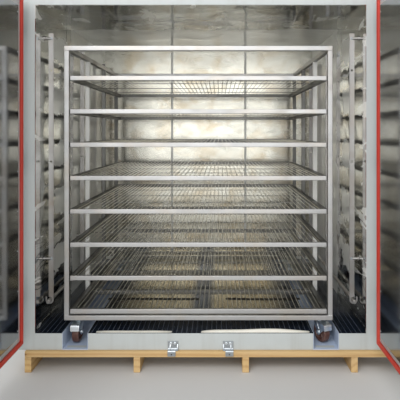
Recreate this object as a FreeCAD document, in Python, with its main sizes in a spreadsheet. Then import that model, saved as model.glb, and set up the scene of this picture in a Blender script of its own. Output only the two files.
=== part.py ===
import FreeCAD, Part
import Sketcher
import os
import re

# Walk-in industrial oven with two doors and a shelf trolley, standing on a timber pallet.
# Every place below is measured from the oven itself: x from its centre plane, y from the
# front face of its body towards the back, z from the ground. The frame of the finished part
# starts under the pallet's middle bearer, so originX and originY carry each piece over.

sizes = {
    # timber pallet
    "bearerWidth": 40,
    "bearerHeight": 92,
    "bearerCount": 5,
    "palletLip": 20,
    "palletTail": 180,
    "palletTuck": 42,
    "palletRight": 102,
    "boardThick": 36,
    "boardWidth": 140,
    "boardCount": 10,
    # insulated body and its lining
    "sideSpace": 170,
    "backSpace": 190,
    "headroom": 235,
    "wallThick": 97,
    "sheetThick": 3,
    "floorThick": 104,
    "channelInset": 70,
    "channelWidth": 156,
    "channelBase": 6,
    # doors, shown at doorAngle from closed
    "doorAngle": 90,
    "doorThick": 90,
    "doorStandoff": 15,
    "doorPinOut": 67,
    "doorPinGap": 20,
    "doorMeeting": 3,
    "doorSill": 60,
    "doorHead": 60,
    "gasketWidth": 27,
    "gasketProud": 14,
    "gasketInset": 7,
    "gasketRise": 16,
    "linerProud": 25,
    "linerSide": 105,
    "linerMeeting": 57,
    "linerFoot": 87,
    "linerHead": 100,
    # hinges
    "hingeLow": 420,
    "hingeTopGap": 240,
    "hingeCount": 3,
    "knuckleRadius": 15,
    "knuckleLength": 60,
    "knuckleGap": 1,
    "pinRadius": 8,
    "pinPlay": 0.1,
    "leafThick": 8,
    "leafReach": 80,
    "strapReach": 170,
    "armInset": 5,
    # locking gear
    "lockOffset": 167,
    "rodRadius": 10,
    "rodStandoff": 12,
    "rodFootGap": 14,
    "guideSize": 40,
    "camWidth": 50,
    "camDepth": 70,
    "camHeight": 24,
    "handleRise": 910,
    "handleLength": 260,
    "handleThick": 14,
    "keeperWidth": 62,
    "keeperRise": 55,
    "keeperDrop": 29,
    "keeperPlate": 6,
    "keeperEar": 22,
    # trolley guides inside the chamber
    "strapGap": 42,
    "strapWidth": 32,
    "strapThick": 4,
    "strapFirst": 158,
    "strapLast": 162,
    "strapCount": 3,
    "strapDrop": 140,
    "hookRaise": 122,
    "hookWidth": 52,
    "hookRise": 46,
    "hookWall": 10,
    "railRadius": 12,
    "railWeld": 1,
    "spacerRadius": 9,
    "spacerRaise": 410,
    # trolley
    "trolleyShift": -16,
    "trolleyHalf": 830,
    "trolleyFront": 60,
    "trolleyDepth": 1521,
    "tubeSize": 30,
    "postRows": 4,
    "topDrop": 50,
    "shelfRise": 39,
    "shelfPitch": 206,
    "shelfCount": 8,
    "shelfGap": 7,
    "shelfBar": 25,
    "shelfHeight": 28,
    "wireSize": 5,
    "wireDrop": 3,
    "wirePitch": 91,
    "wireCount": 17,
    "runnerSize": 30,
    "runnerThick": 3,
    # casters
    "casterFront": 88,
    "casterRear": 110,
    "casterTrail": 35,
    "casterTurn": 22,
    "plateLength": 105,
    "plateWidth": 85,
    "plateThick": 4,
    "headRadius": 30,
    "headHeight": 12,
    "headGap": 0.5,
    "forkInside": 46,
    "forkThick": 4,
    "forkCrown": 4,
    "forkRoom": 4.2,
    "forkFoot": 24,
    "hoodGap": 3.5,
    "hoodRise": 59,
    "hoodDrop": 3,
    "axleRadius": 6,
    "wheelRadius": 62.5,
    "wheelWidth": 40,
    "wheelPlay": 0.3,
    "axlePlay": 0.1,
    # roof equipment
    "plenumWidth": 1500,
    "plenumDepth": 1200,
    "plenumHeight": 320,
    "plenumFront": 250,
    "motorOffset": 380,
    "motorRadius": 95,
    "motorHeight": 260,
    "motorFlange": 130,
    "flangeThick": 14,
    "finDepth": 14,
    "stackRadius": 80,
    "stackWall": 3,
    "stackHeight": 520,
    "stackGap": 180,
    # control cabinet
    "cabinetWidth": 400,
    "cabinetDepth": 500,
    "cabinetHeight": 1700,
    "cabinetFront": 150,
    "plinthHeight": 100,
    "plinthInset": 20,
    "panelMargin": 12,
    "panelThick": 18,
    "switchRadius": 32,
    "switchDepth": 36,
    "lampRadius": 14,
    "lampPitch": 70,
    "lampCount": 4,
    "screenWidth": 190,
    "screenHeight": 120,
    "screenThick": 14,
    "screenBottom": 1330,
}

document = FreeCAD.newDocument("IndustrialOven")
sheet = document.addObject("Spreadsheet::Sheet", "Sizes")
for row, (alias, value) in enumerate(sizes.items(), start=1):
    sheet.set("A%d" % row, alias)
    sheet.set("B%d" % row, str(value))
    sheet.setAlias("B%d" % row, alias)
document.recompute()

# Heights, from the ground up.
deckTop = "(bearerHeight + boardThick)"
floorTop = f"({deckTop} + floorThick)"
wheelBottom = f"({deckTop} + channelBase + wheelPlay)"
axleHeight = f"({wheelBottom} + wheelRadius)"
forkTop = f"({axleHeight} + wheelRadius + forkRoom + forkCrown)"
headBottom = f"({forkTop} + headGap)"
plateBottom = f"({headBottom} + headHeight)"
baseBottom = f"({plateBottom} + plateThick)"
shelfFirst = f"({baseBottom} + tubeSize + shelfRise)"
postTop = f"({shelfFirst} + shelfCount * shelfPitch - topDrop)"
ceiling = f"({postTop} + tubeSize + headroom)"
roofTop = f"({ceiling} + sheetThick + wallThick)"
doorBottom = f"({deckTop} + doorSill)"
doorTop = f"({ceiling} + doorHead)"
hingePitch = f"(({doorTop} - hingeTopGap - hingeLow) / (hingeCount - 1))"

# Widths and depths: the chamber is as large as its trolley and the space around it.
clearHalf = "(trolleyHalf + sideSpace)"
clearDepth = "(trolleyFront + trolleyDepth + backSpace)"
linedHalf = f"({clearHalf} + sheetThick)"
linedDepth = f"({clearDepth} + sheetThick)"
outerHalf = f"({linedHalf} + wallThick)"
backFace = f"({linedDepth} + wallThick)"
channelCentre = "(trolleyHalf - channelInset)"
channelIn = f"({channelCentre} - channelWidth / 2)"
channelOut = f"({channelCentre} + channelWidth / 2)"
shelfHalf = "(trolleyHalf - tubeSize - shelfGap)"
strapX = f"({clearHalf} - strapGap)"
strapPitch = f"(({clearDepth} - strapFirst - strapLast) / (strapCount - 1))"

# The pallet reaches from under the left wall to beyond the cabinet on the right.
palletLeft = f"(palletTuck - {outerHalf})"
palletWidth = f"({outerHalf} + cabinetWidth + palletRight - {palletLeft})"
bearerPitch = f"(({palletWidth} - bearerWidth) / (bearerCount - 1))"
palletLength = f"({backFace} + palletLip + palletTail)"
boardPitch = f"(({palletLength} - boardWidth) / (boardCount - 1))"

originX = f"(-({palletLeft} + {palletWidth} / 2))"
originY = f"(palletLip - {palletLength} / 2)"

nodes = []


def formula(text):
    """Writes a size formula with each name turned into its cell of the sheet."""
    def cell(match):
        word = match.group()
        return "Sizes." + word if word in sizes else word
    return re.sub(r"[A-Za-z_]\w*", cell, str(text))


def bind(thing, **formulas):
    for name, text in formulas.items():
        thing.setExpression(name.replace("_", "."), formula(text))
    return thing


def place(thing, x, y, z, local=False):
    """Places a piece in oven coordinates, or in its own parent's when local is set."""
    shiftX = "0" if local else originX
    shiftY = "0" if local else originY
    return bind(
        thing,
        Placement_Base_x=f"{shiftX} + {x}",
        Placement_Base_y=f"{shiftY} + {y}",
        Placement_Base_z=z,
    )


def turn(thing, axis, angle):
    """Turns a piece about an axis through its own origin."""
    thing.Placement = FreeCAD.Placement(FreeCAD.Vector(), FreeCAD.Rotation(FreeCAD.Vector(*axis), 1))
    return bind(thing, Placement_Rotation_Angle=angle)


def slab(name, x, y, z, local=False):
    """A box given as three pairs of start and length."""
    box = document.addObject("Part::Box", name)
    bind(box, Length=x[1], Width=y[1], Height=z[1])
    return place(box, x[0], y[0], z[0], local)


def rod(name, radius, length, x, y, z, axis=None, local=False):
    """A round bar that starts at a point and runs along Z, X or Y."""
    bar = document.addObject("Part::Cylinder", name)
    if axis == "x":
        turn(bar, (0, 1, 0), "90")
    if axis == "y":
        turn(bar, (1, 0, 0), "-90")
    bind(bar, Radius=radius, Height=length)
    return place(bar, x, y, z, local)


def join(kind, name, pieces):
    """Cuts the first piece by the rest, fuses them all, or groups them without fusing."""
    if kind == "cut":
        result = pieces[0]
        for index, tool in enumerate(pieces[1:], start=1):
            last = index == len(pieces) - 1
            step = document.addObject("Part::Cut", name if last else f"{name}_{index}")
            step.Base = result
            step.Tool = tool
            result = step
        return result
    if kind == "fuse":
        result = document.addObject("Part::MultiFuse", name)
        result.Shapes = pieces
        return result
    result = document.addObject("Part::Compound", name)
    result.Links = pieces
    return result


def mirrored(name, source):
    """The same piece on the other side of the oven's centre plane."""
    copy = document.addObject("Part::Mirroring", name)
    copy.Source = source
    copy.Normal = FreeCAD.Vector(1, 0, 0)
    return bind(copy, Base_x=originX)


def node(label, thing):
    thing.Label = label
    nodes.append(thing)
    return thing


def originPlane(body, role):
    return next(plane for plane in body.Origin.OriginFeatures if plane.Role == role)


def number(text):
    """The value that a size formula has now."""
    return float(sheet.evalExpression(formula(text)))


def outline(body, name, role, loops):
    """A sketch of closed loops whose every corner is set out from the origin by two formulas."""
    sketch = body.newObject("Sketcher::SketchObject", name)
    sketch.AttachmentSupport = [(originPlane(body, role), "")]
    sketch.MapMode = "FlatFace"
    for corners in loops:
        points = [FreeCAD.Vector(number(across), number(up), 0) for across, up in corners]
        first = sketch.GeometryCount
        count = len(points)
        for index in range(count):
            sketch.addGeometry(Part.LineSegment(points[index], points[(index + 1) % count]), False)
        for index in range(count):
            following = first + (index + 1) % count
            sketch.addConstraint(Sketcher.Constraint("Coincident", first + index, 2, following, 1))
        for index, (across, up) in enumerate(corners):
            for kind, text, value in (
                ("DistanceX", across, points[index].x),
                ("DistanceY", up, points[index].y),
            ):
                made = sketch.addConstraint(
                    Sketcher.Constraint(kind, -1, 1, first + index, 1, value)
                )
                label = f"{kind}{first + index}"
                sketch.renameConstraint(made, label)
                sketch.setExpression("Constraints." + label, formula(text))
    return sketch


def rectangle(left, bottom, right, top):
    return [(left, bottom), (right, bottom), (right, top), (left, top)]


def extrusion(name, role, loops, length, x, y, z, local=False):
    """A padded body: its outline lies in one of its origin planes."""
    body = document.addObject("PartDesign::Body", name)
    sketch = outline(body, name + "_outline", role, loops)
    pad = body.newObject("PartDesign::Pad", name + "_pad")
    pad.Profile = sketch
    bind(pad, Length=length)
    place(body, x, y, z, local)
    return body


def revolved(name, loops, x, y, z, local=False):
    """A turned body: half its outline in the XZ plane, spun about Z."""
    body = document.addObject("PartDesign::Body", name)
    sketch = outline(body, name + "_outline", "XZ_Plane", loops)
    spin = body.newObject("PartDesign::Revolution", name + "_turned")
    spin.Profile = sketch
    spin.ReferenceAxis = (sketch, ["V_Axis"])
    spin.Angle = 360
    place(body, x, y, z, local)
    return body


def copies(name, source, count, x, y, z, stepX="0", stepY="0", stepZ="0"):
    """A row of the same piece, each a set step from the one before."""
    links = []
    for index in range(count):
        link = document.addObject("App::Link", f"{name}_{index + 1}")
        link.LinkedObject = source
        bind(
            link,
            Placement_Base_x=f"{x} + {index} * ({stepX})",
            Placement_Base_y=f"{y} + {index} * ({stepY})",
            Placement_Base_z=f"{z} + {index} * ({stepZ})",
        )
        links.append(link)
    return links


def timberPallet():
    bearers = [
        slab(
            f"bearer_{index + 1}",
            (f"{palletLeft} + {index} * {bearerPitch}", "bearerWidth"),
            ("-palletLip", palletLength),
            ("0", "bearerHeight"),
        )
        for index in range(sizes["bearerCount"])
    ]
    node("pallet_bearers", join("group", "bearers", bearers))
    boards = [
        slab(
            f"board_{index + 1}",
            (palletLeft, palletWidth),
            (f"-palletLip + {index} * {boardPitch}", "boardWidth"),
            ("bearerHeight", "boardThick"),
        )
        for index in range(sizes["boardCount"])
    ]
    node("pallet_deck_boards", join("group", "deck_boards", boards))


def insulatedBody():
    """Filled sheet-metal panels, with two wheel channels let into the floor."""
    height = (deckTop, f"{ceiling} - {deckTop} + sheetThick")
    depth = ("0", backFace)
    wall = "wallThick"
    node("right_wall", slab("wall_right", (linedHalf, wall), depth, height))
    node("left_wall", slab("wall_left", (f"-{outerHalf}", wall), depth, height))
    between = (f"-{linedHalf}", f"2 * {linedHalf}")
    node("back_wall", slab("wall_back", between, (linedDepth, wall), height))
    across = (f"-{outerHalf}", f"2 * {outerHalf}")
    node("roof_panel", slab("roof", across, depth, (f"{ceiling} + sheetThick", wall)))

    block = (deckTop, "floorThick - sheetThick")
    blockDepth = ("0", linedDepth)
    sideWide = f"{linedHalf} - {channelOut}"
    node("floor_left_block", slab("floor_left", (f"-{linedHalf}", sideWide), blockDepth, block))
    node("floor_right_block", slab("floor_right", (channelOut, sideWide), blockDepth, block))
    centre = (f"-{channelIn}", f"2 * {channelIn}")
    node("floor_centre_block", slab("floor_centre", centre, blockDepth, block))

    side = "sheetThick"
    trough = [
        ("0", "0"),
        ("channelWidth", "0"),
        ("channelWidth", "floorThick"),
        (f"channelWidth - {side}", "floorThick"),
        (f"channelWidth - {side}", "channelBase"),
        (side, "channelBase"),
        (side, "floorThick"),
        ("0", "floorThick"),
    ]
    channel = extrusion(
        "channel_right", "XZ_Plane", [trough], linedDepth, channelIn, linedDepth, deckTop,
    )
    node("wheel_channels", join("group", "channels", [mirrored("channel_left", channel), channel]))

    plate = (f"{floorTop} - sheetThick", "sheetThick")
    node("floor_lining", join("group", "floor_sheets", [
        slab("floor_sheet_left", (f"-{linedHalf}", sideWide), blockDepth, plate),
        slab("floor_sheet_centre", centre, blockDepth, plate),
        slab("floor_sheet_right", (channelOut, sideWide), blockDepth, plate),
    ]))
    tall = (floorTop, f"{ceiling} - {floorTop}")
    deep = ("0", clearDepth)
    node("left_wall_lining", slab("lining_left", (f"-{linedHalf}", side), deep, tall))
    node("right_wall_lining", slab("lining_right", (clearHalf, side), deep, tall))
    node("back_wall_lining", slab("lining_back", between, (clearDepth, side), tall))
    node("ceiling_lining", slab("lining_ceiling", between, blockDepth, (ceiling, side)))


def trolleyGuides():
    """Straps down each side wall whose hooks carry a bumper rail for the trolley."""
    hookFoot = f"({floorTop} + hookRaise)"
    strapLength = f"({ceiling} - strapDrop - {hookFoot})"
    hook = [
        ("0", "0"),
        ("hookWidth", "0"),
        ("hookWidth", "hookRise"),
        ("hookWidth - hookWall", "hookRise"),
        ("hookWidth - hookWall", "hookWall"),
        ("hookWall", "hookWall"),
        ("hookWall", "hookRise"),
        ("strapWidth", "hookRise + strapWidth"),
        ("strapWidth", strapLength),
        ("0", strapLength),
    ]
    pieces = []
    for index in range(sizes["strapCount"]):
        y = f"strapFirst + {index} * {strapPitch}"
        strap = extrusion(
            f"strap_{index + 1}", "XZ_Plane", [hook], "strapThick",
            f"{strapX} - strapWidth / 2", f"{y} + strapThick", hookFoot,
        )
        spacers = [
            rod(
                f"spacer_{index + 1}_{level}", "spacerRadius", "strapGap - strapWidth / 2",
                f"{strapX} + strapWidth / 2", f"{y} + strapThick / 2", height, axis="x",
            )
            for level, height in (
                ("low", f"{floorTop} + spacerRaise"),
                ("high", f"{ceiling} - strapDrop - 2 * strapWidth"),
            )
        ]
        pieces.append(join("fuse", f"hanger_{index + 1}", [strap] + spacers))
    rail = rod(
        "bumper_rail", "railRadius", f"{strapPitch} * (strapCount - 1) + 2 * strapWidth",
        f"{strapX} - strapWidth / 2 + hookWidth / 2", "strapFirst - strapWidth",
        f"{hookFoot} + hookWall + railRadius - railWeld", axis="y",
    )
    guide = join("fuse", "guide_right", pieces + [rail])
    node("right_trolley_guide", guide)
    node("left_trolley_guide", mirrored("guide_left", guide))


def doorKeepers():
    """Bent plates on the sill that the cams of the lock rods turn behind."""
    lip = "(palletLip + keeperPlate)"
    bendTop = "keeperDrop + keeperPlate"
    bend = [
        ("-keeperPlate", "keeperDrop + keeperRise"),
        ("-keeperPlate", bendTop),
        (f"-{lip}", bendTop),
        (f"-{lip}", "0"),
        ("-palletLip", "0"),
        ("-palletLip", "keeperDrop"),
        ("0", "keeperDrop"),
        ("0", "keeperDrop + keeperRise"),
    ]
    plate = extrusion(
        "keeper_plate", "YZ_Plane", [bend], "keeperWidth",
        "lockOffset - keeperWidth / 2", "0", f"{deckTop} - keeperDrop",
    )
    ear = slab(
        "keeper_ear", ("lockOffset - keeperWidth / 2", "keeperPlate"),
        (f"-{lip}", f"{lip} - keeperPlate"), (f"{deckTop} + keeperPlate", "keeperEar"),
    )
    keeper = join("fuse", "keeper_right", [plate, ear])
    node("door_keepers", join("group", "keepers", [mirrored("keeper_left", keeper), keeper]))


def hingeHeights():
    return [f"(hingeLow + {index} * {hingePitch})" for index in range(sizes["hingeCount"])]


def doorHinges():
    """The fixed halves: a leaf on the side of the body, a knuckle and its pin."""
    pieces = []
    for index, height in enumerate(hingeHeights(), start=1):
        knuckle = rod(f"knuckle_{index}", "knuckleRadius", "knuckleLength", outerHalf, "-doorPinOut", height)
        pin = rod(f"pin_{index}", "pinRadius", "2 * knuckleLength", outerHalf, "-doorPinOut", height)
        leaf = slab(
            f"leaf_{index}", (outerHalf, "leafThick"), ("-doorPinOut", "doorPinOut + leafReach"),
            (height, "knuckleLength"),
        )
        pieces.append(join("fuse", f"hinge_{index}", [knuckle, pin, leaf]))
    right = join("group", "hinges_right", pieces)
    node("right_hinge_mounts", right)
    node("left_hinge_mounts", mirrored("hinges_left", right))


def openDoor(name, thing):
    """Hangs a piece drawn about the hinge pin, turned from closed to the door's angle."""
    turn(thing, (0, 0, 1), "doorAngle")
    place(thing, outerHalf, "-doorPinOut", "0")
    node("right_door_" + name, thing)
    node("left_door_" + name, mirrored("left_" + thing.Name, thing))


def doors():
    """Drawn closed about the hinge pin: x runs to the hinge side, y to the back."""
    inner = "(doorPinOut - doorStandoff)"
    outer = f"({inner} - doorThick)"
    meeting = f"(doorMeeting - {outerHalf})"
    panel = slab(
        "door_slab", (meeting, f"-doorPinGap - {meeting}"), (outer, "doorThick"),
        (doorBottom, f"{doorTop} - {doorBottom}"), local=True,
    )
    openDoor("panel", join("group", "door_panel", [panel]))

    lining = slab(
        "door_tray", (f"{meeting} + linerMeeting", f"-doorPinGap - linerSide - {meeting} - linerMeeting"),
        (inner, "linerProud"),
        (f"{doorBottom} + linerFoot", f"{doorTop} - {doorBottom} - linerFoot - linerHead"), local=True,
    )
    openDoor("lining", join("group", "door_lining", [lining]))

    low = f"({doorBottom} + gasketRise)"
    high = f"({doorTop} - gasketRise)"
    near = "(-doorPinGap - gasketInset)"
    far = f"({meeting} + gasketInset)"
    seal = extrusion(
        "door_seal", "XZ_Plane",
        [
            rectangle(far, low, near, high),
            rectangle(
                f"{far} + gasketWidth", f"{low} + gasketWidth",
                f"{near} - gasketWidth", f"{high} - gasketWidth",
            ),
        ],
        "gasketProud", "0", f"{inner} + gasketProud", "0", local=True,
    )
    openDoor("gasket", join("group", "door_gasket", [seal]))

    arms = []
    for index, height in enumerate(hingeHeights(), start=1):
        start = f"({height} + knuckleLength + knuckleGap)"
        barrel = rod(f"barrel_{index}", "knuckleRadius", "knuckleLength", "0", "0", start, local=True)
        arm = (f"{start} + armInset", "knuckleLength - 2 * armInset")
        web = slab(
            f"web_{index}", ("-leafThick", "1.5 * leafThick"),
            (f"{outer} - leafThick", f"-({outer} - leafThick)"), arm, local=True,
        )
        strap = slab(
            f"strap_arm_{index}", ("-strapReach", "strapReach + leafThick / 2"),
            (f"{outer} - leafThick", "leafThick"), arm, local=True,
        )
        solid = join("fuse", f"arm_{index}", [barrel, web, strap])
        bore = rod(f"bore_{index}", "pinRadius + pinPlay", "knuckleLength", "0", "0", start, local=True)
        arms.append(join("cut", f"swing_arm_{index}", [solid, bore]))
    openDoor("hinge_arms", join("group", "door_arms", arms))

    lockX = f"(lockOffset - {outerHalf})"
    lockY = f"({outer} - rodStandoff - rodRadius)"
    rodFoot = f"({deckTop} + rodFootGap)"
    bar = rod(
        "lock_bar", "rodRadius", f"{doorTop} + sheetThick + camHeight - {rodFoot}",
        lockX, lockY, rodFoot, local=True,
    )
    cams = [
        slab(
            f"cam_{side}", (f"{lockX} - camWidth / 2", "camWidth"), (f"{lockY} - rodRadius", "camDepth"),
            (height, "camHeight"), local=True,
        )
        for side, height in (("low", rodFoot), ("high", f"{doorTop} + sheetThick"))
    ]
    guides = [
        slab(
            f"rod_guide_{index + 1}", (f"{lockX} - guideSize / 2", "guideSize"),
            (f"{lockY} - rodRadius - rodStandoff / 2", "2 * rodRadius + 1.5 * rodStandoff"),
            (f"{doorBottom} + guideSize + {index} * ({doorTop} - {doorBottom} - 3 * guideSize) / 3", "guideSize"),
            local=True,
        )
        for index in range(4)
    ]
    lever = slab(
        "lever", (f"{lockX} - handleThick", "handleLength"),
        (f"{lockY} - rodRadius - handleThick / 2", "handleThick"),
        (f"{floorTop} + handleRise", "2 * handleThick"), local=True,
    )
    openDoor("lock_rod", join("fuse", "door_lock", [bar, *cams, *guides, lever]))


def trolley():
    """A welded tube frame: the shelves lie loose on angle runners between its posts."""
    left = "(trolleyShift - trolleyHalf)"
    wide = "2 * trolleyHalf"
    tube = "tubeSize"
    rowPitch = "((trolleyDepth - tubeSize) / (postRows - 1))"
    rows = [f"(trolleyFront + {index} * {rowPitch})" for index in range(sizes["postRows"])]
    base = [
        slab(f"base_cross_{index}", (left, wide), (row, tube), (baseBottom, tube))
        for index, row in enumerate(rows, start=1)
    ]
    base += [
        slab(
            f"base_long_{side}", (f"trolleyShift {sign} {channelCentre} - tubeSize / 2", tube),
            ("trolleyFront", "trolleyDepth"), (baseBottom, tube),
        )
        for side, sign in (("left", "-"), ("right", "+"))
    ]
    node("trolley_base_frame", join("fuse", "base_frame", base))

    upright = (f"{baseBottom} + tubeSize", f"{postTop} - {baseBottom} - tubeSize")
    posts = [
        slab(f"post_{side}_{index}", (x, tube), (row, tube), upright)
        for side, x in (("left", left), ("right", "trolleyShift + trolleyHalf - tubeSize"))
        for index, row in enumerate(rows, start=1)
    ]
    node("trolley_posts", join("group", "posts", posts))

    top = [
        slab(f"top_cross_{index}", (left, wide), (row, tube), (postTop, tube))
        for index, row in ((1, rows[0]), (2, rows[-1]))
    ]
    top += [
        slab(f"top_long_{side}", (x, tube), ("trolleyFront", "trolleyDepth"), (postTop, tube))
        for side, x in (("left", left), ("right", "trolleyShift + trolleyHalf - tubeSize"))
    ]
    node("trolley_top_frame", join("fuse", "top_frame", top))

    size = "runnerSize"
    thin = "runnerThick"
    angle = [("0", "0"), (size, "0"), (size, size), (f"{size} - {thin}", size), (f"{size} - {thin}", thin), ("0", thin)]
    runners = []
    for level in range(sizes["shelfCount"]):
        shelfFoot = f"{shelfFirst} + {level} * shelfPitch - shelfHeight - runnerThick"
        right = extrusion(
            f"runner_right_{level + 1}", "XZ_Plane", [angle], "trolleyDepth",
            "trolleyShift + trolleyHalf - tubeSize - runnerSize", "trolleyFront + trolleyDepth", shelfFoot,
        )
        copy = document.addObject("Part::Mirroring", f"runner_left_{level + 1}")
        copy.Source = right
        copy.Normal = FreeCAD.Vector(1, 0, 0)
        bind(copy, Base_x=f"{originX} + trolleyShift")
        runners += [right, copy]
    node("trolley_side_runners", join("group", "runners", runners))

    half = shelfHalf
    deep = "trolleyDepth"
    bar = "shelfBar"
    rim = extrusion(
        "shelf_rim", "XY_Plane",
        [
            rectangle(f"-{half}", "0", half, deep),
            rectangle(f"-{half} + {bar}", bar, f"{half} - {bar}", f"{deep} - {bar}"),
        ],
        "shelfHeight", "0", "0", "0", local=True,
    )
    wires = [
        slab(
            f"wire_{index + 1}",
            (f"({index} - (wireCount - 1) / 2) * wirePitch - wireSize / 2", "wireSize"),
            ("shelfBar", "trolleyDepth - 2 * shelfBar"),
            ("shelfHeight - wireDrop - wireSize", "wireSize"), local=True,
        )
        for index in range(sizes["wireCount"])
    ]
    ties = [
        slab(
            f"tie_{index}", (f"shelfBar - {shelfHalf}", f"2 * ({shelfHalf} - shelfBar)"),
            (f"{index} * trolleyDepth / 4 - wireSize", "2 * wireSize"),
            ("shelfHeight - wireDrop - 3 * wireSize", "2 * wireSize"), local=True,
        )
        for index in (1, 2, 3)
    ]
    shelf = join("fuse", "shelf", [rim, *wires, *ties])
    lower = sizes["shelfCount"] // 2
    upper = sizes["shelfCount"] - lower
    for name, first, count in (("lower_shelves", 0, lower), ("upper_shelves", lower, upper)):
        links = copies(
            name, shelf, count, f"{originX} + trolleyShift", f"{originY} + trolleyFront",
            f"{shelfFirst} + {first} * shelfPitch - shelfHeight", stepZ="shelfPitch",
        )
        node("trolley_" + name, join("group", name + "_stack", links))


def casters():
    """Front casters swivel, rear ones are fixed: drawn about the swivel axis at floor level."""
    frontY = "(trolleyFront + casterFront)"
    rearY = "(trolleyFront + trolleyDepth - casterRear)"

    plates = []
    for side, sign in (("left", "-"), ("right", "+")):
        x = f"trolleyShift {sign} {channelCentre}"
        plate = slab(
            f"caster_plate_{side}", (f"{x} - plateWidth / 2", "plateWidth"),
            (f"{frontY} - plateLength / 2", "plateLength"), (plateBottom, "plateThick"),
        )
        head = rod(f"caster_head_{side}", "headRadius", "headHeight", x, frontY, headBottom)
        plates.append(join("fuse", f"caster_top_{side}", [plate, head]))
    node("front_caster_plates", join("group", "caster_plates", plates))

    def fork(name, trail, top):
        """Two tapered legs down to the axle, under a crown plate and a hood over the wheel's front."""
        legInside = "forkInside / 2"
        rise = f"({top} - {axleHeight})"
        reach = f"({trail} + wheelRadius + hoodGap + forkThick)"
        leg = [
            ("-headRadius", rise),
            (f"-{reach}", "hoodRise"),
            (f"-{reach}", "hoodDrop"),
            (f"-{trail} - forkFoot / 2", "-forkFoot * 0.7"),
            (f"-{trail} + forkFoot / 2", "-forkFoot * 0.7"),
            (f"-{trail} + forkFoot", "0"),
            ("headRadius", rise),
        ]
        sheet = [
            ("-headRadius", rise),
            (f"-{reach}", "hoodRise"),
            (f"-{reach}", "hoodDrop"),
            (f"forkThick - {reach}", "hoodDrop"),
            (f"forkThick - {reach}", "hoodRise - forkThick"),
            ("-headRadius", f"{rise} - forkThick"),
        ]
        pieces = [
            extrusion(f"{name}_leg_{side}", "YZ_Plane", [leg], "forkThick", x, "0", axleHeight, local=True)
            for side, x in (("a", f"-{legInside} - forkThick"), ("b", legInside))
        ]
        hood = extrusion(
            f"{name}_hood", "YZ_Plane", [sheet], "forkInside", f"-{legInside}", "0", axleHeight, local=True,
        )
        crown = slab(
            f"{name}_crown", (f"-{legInside} - forkThick", "forkInside + 2 * forkThick"),
            ("-headRadius", "2 * headRadius"), (f"{top} - forkCrown", "forkCrown"), local=True,
        )
        axle = rod(
            f"{name}_axle", "axleRadius", "forkInside + 2 * forkThick + axleRadius",
            f"-{legInside} - forkThick - axleRadius / 2", f"-{trail}", axleHeight, axis="x", local=True,
        )
        return join("fuse", name, pieces + [hood, crown, axle])

    def wheel(name, trail):
        body = revolved(
            name,
            [[
                ("axleRadius + axlePlay", "-wheelWidth / 2"),
                ("wheelRadius - 4", "-wheelWidth / 2"),
                ("wheelRadius", "-wheelWidth / 2 + 4"),
                ("wheelRadius", "wheelWidth / 2 - 4"),
                ("wheelRadius - 4", "wheelWidth / 2"),
                ("axleRadius + axlePlay", "wheelWidth / 2"),
            ]],
            "0", f"-{trail}", axleHeight, local=True,
        )
        turn(body, (0, 1, 0), "90")
        return body

    def stand(label, thing, sign, y, angle):
        """Sets a piece at one caster's swivel axis, turned to its angle."""
        group = join("group", label + "_set", [thing])
        turn(group, (0, 0, 1), angle)
        place(group, f"trolleyShift {sign} {channelCentre}", y, "0")
        return node(label, group)

    for side, sign, angle in (("left", "-", "0"), ("right", "+", "casterTurn")):
        stand(f"front_{side}_fork", fork(f"fork_front_{side}", "casterTrail", forkTop), sign, frontY, angle)
        stand(f"front_{side}_wheel", wheel(f"wheel_front_{side}", "casterTrail"), sign, frontY, angle)
    rear = []
    for side, sign in (("left", "-"), ("right", "+")):
        x = f"trolleyShift {sign} {channelCentre}"
        plate = slab(
            f"rear_plate_{side}", (f"{x} - plateWidth / 2", "plateWidth"),
            (f"{rearY} - plateLength / 2", "plateLength"), (plateBottom, "plateThick"),
        )
        bracket = fork(f"fork_rear_{side}", "0", plateBottom)
        place(bracket, x, rearY, "0")
        rear.append(join("fuse", f"rear_caster_{side}", [plate, bracket]))
        stand(f"rear_{side}_wheel", wheel(f"wheel_rear_{side}", "0"), sign, rearY, "0")
    node("rear_caster_forks", join("group", "rear_forks", rear))


def roofEquipment():
    """The housing over the circulation fans, two motors and the exhaust spigot."""
    node("fan_plenum", slab(
        "plenum", ("-plenumWidth / 2", "plenumWidth"), ("plenumFront", "plenumDepth"),
        (roofTop, "plenumHeight"),
    ))
    top = f"({roofTop} + plenumHeight)"
    motors = []
    for side, sign in (("left", "-"), ("right", "+")):
        x = f"{sign}motorOffset"
        y = "plenumFront + plenumDepth / 2"
        pieces = [
            rod(f"motor_flange_{side}", "motorFlange", "flangeThick", x, y, top),
            rod(f"motor_core_{side}", "motorRadius - finDepth", "motorHeight", x, y, top),
            rod(
                f"motor_cowl_{side}", "motorRadius", "motorHeight / 4", x, y,
                f"{top} + motorHeight * 0.75",
            ),
        ]
        motors.append(join("fuse", f"motor_{side}", pieces))
    node("fan_motors", join("group", "motors", motors))
    stack = revolved(
        "stack",
        [[
            ("stackRadius - stackWall", "0"),
            ("stackRadius * 1.5", "0"),
            ("stackRadius * 1.5", "stackWall * 2"),
            ("stackRadius", "stackWall * 2"),
            ("stackRadius", "stackHeight"),
            ("stackRadius - stackWall", "stackHeight"),
        ]],
        "0", "plenumFront + plenumDepth + stackGap", roofTop,
    )
    node("exhaust_stack", stack)


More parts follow.
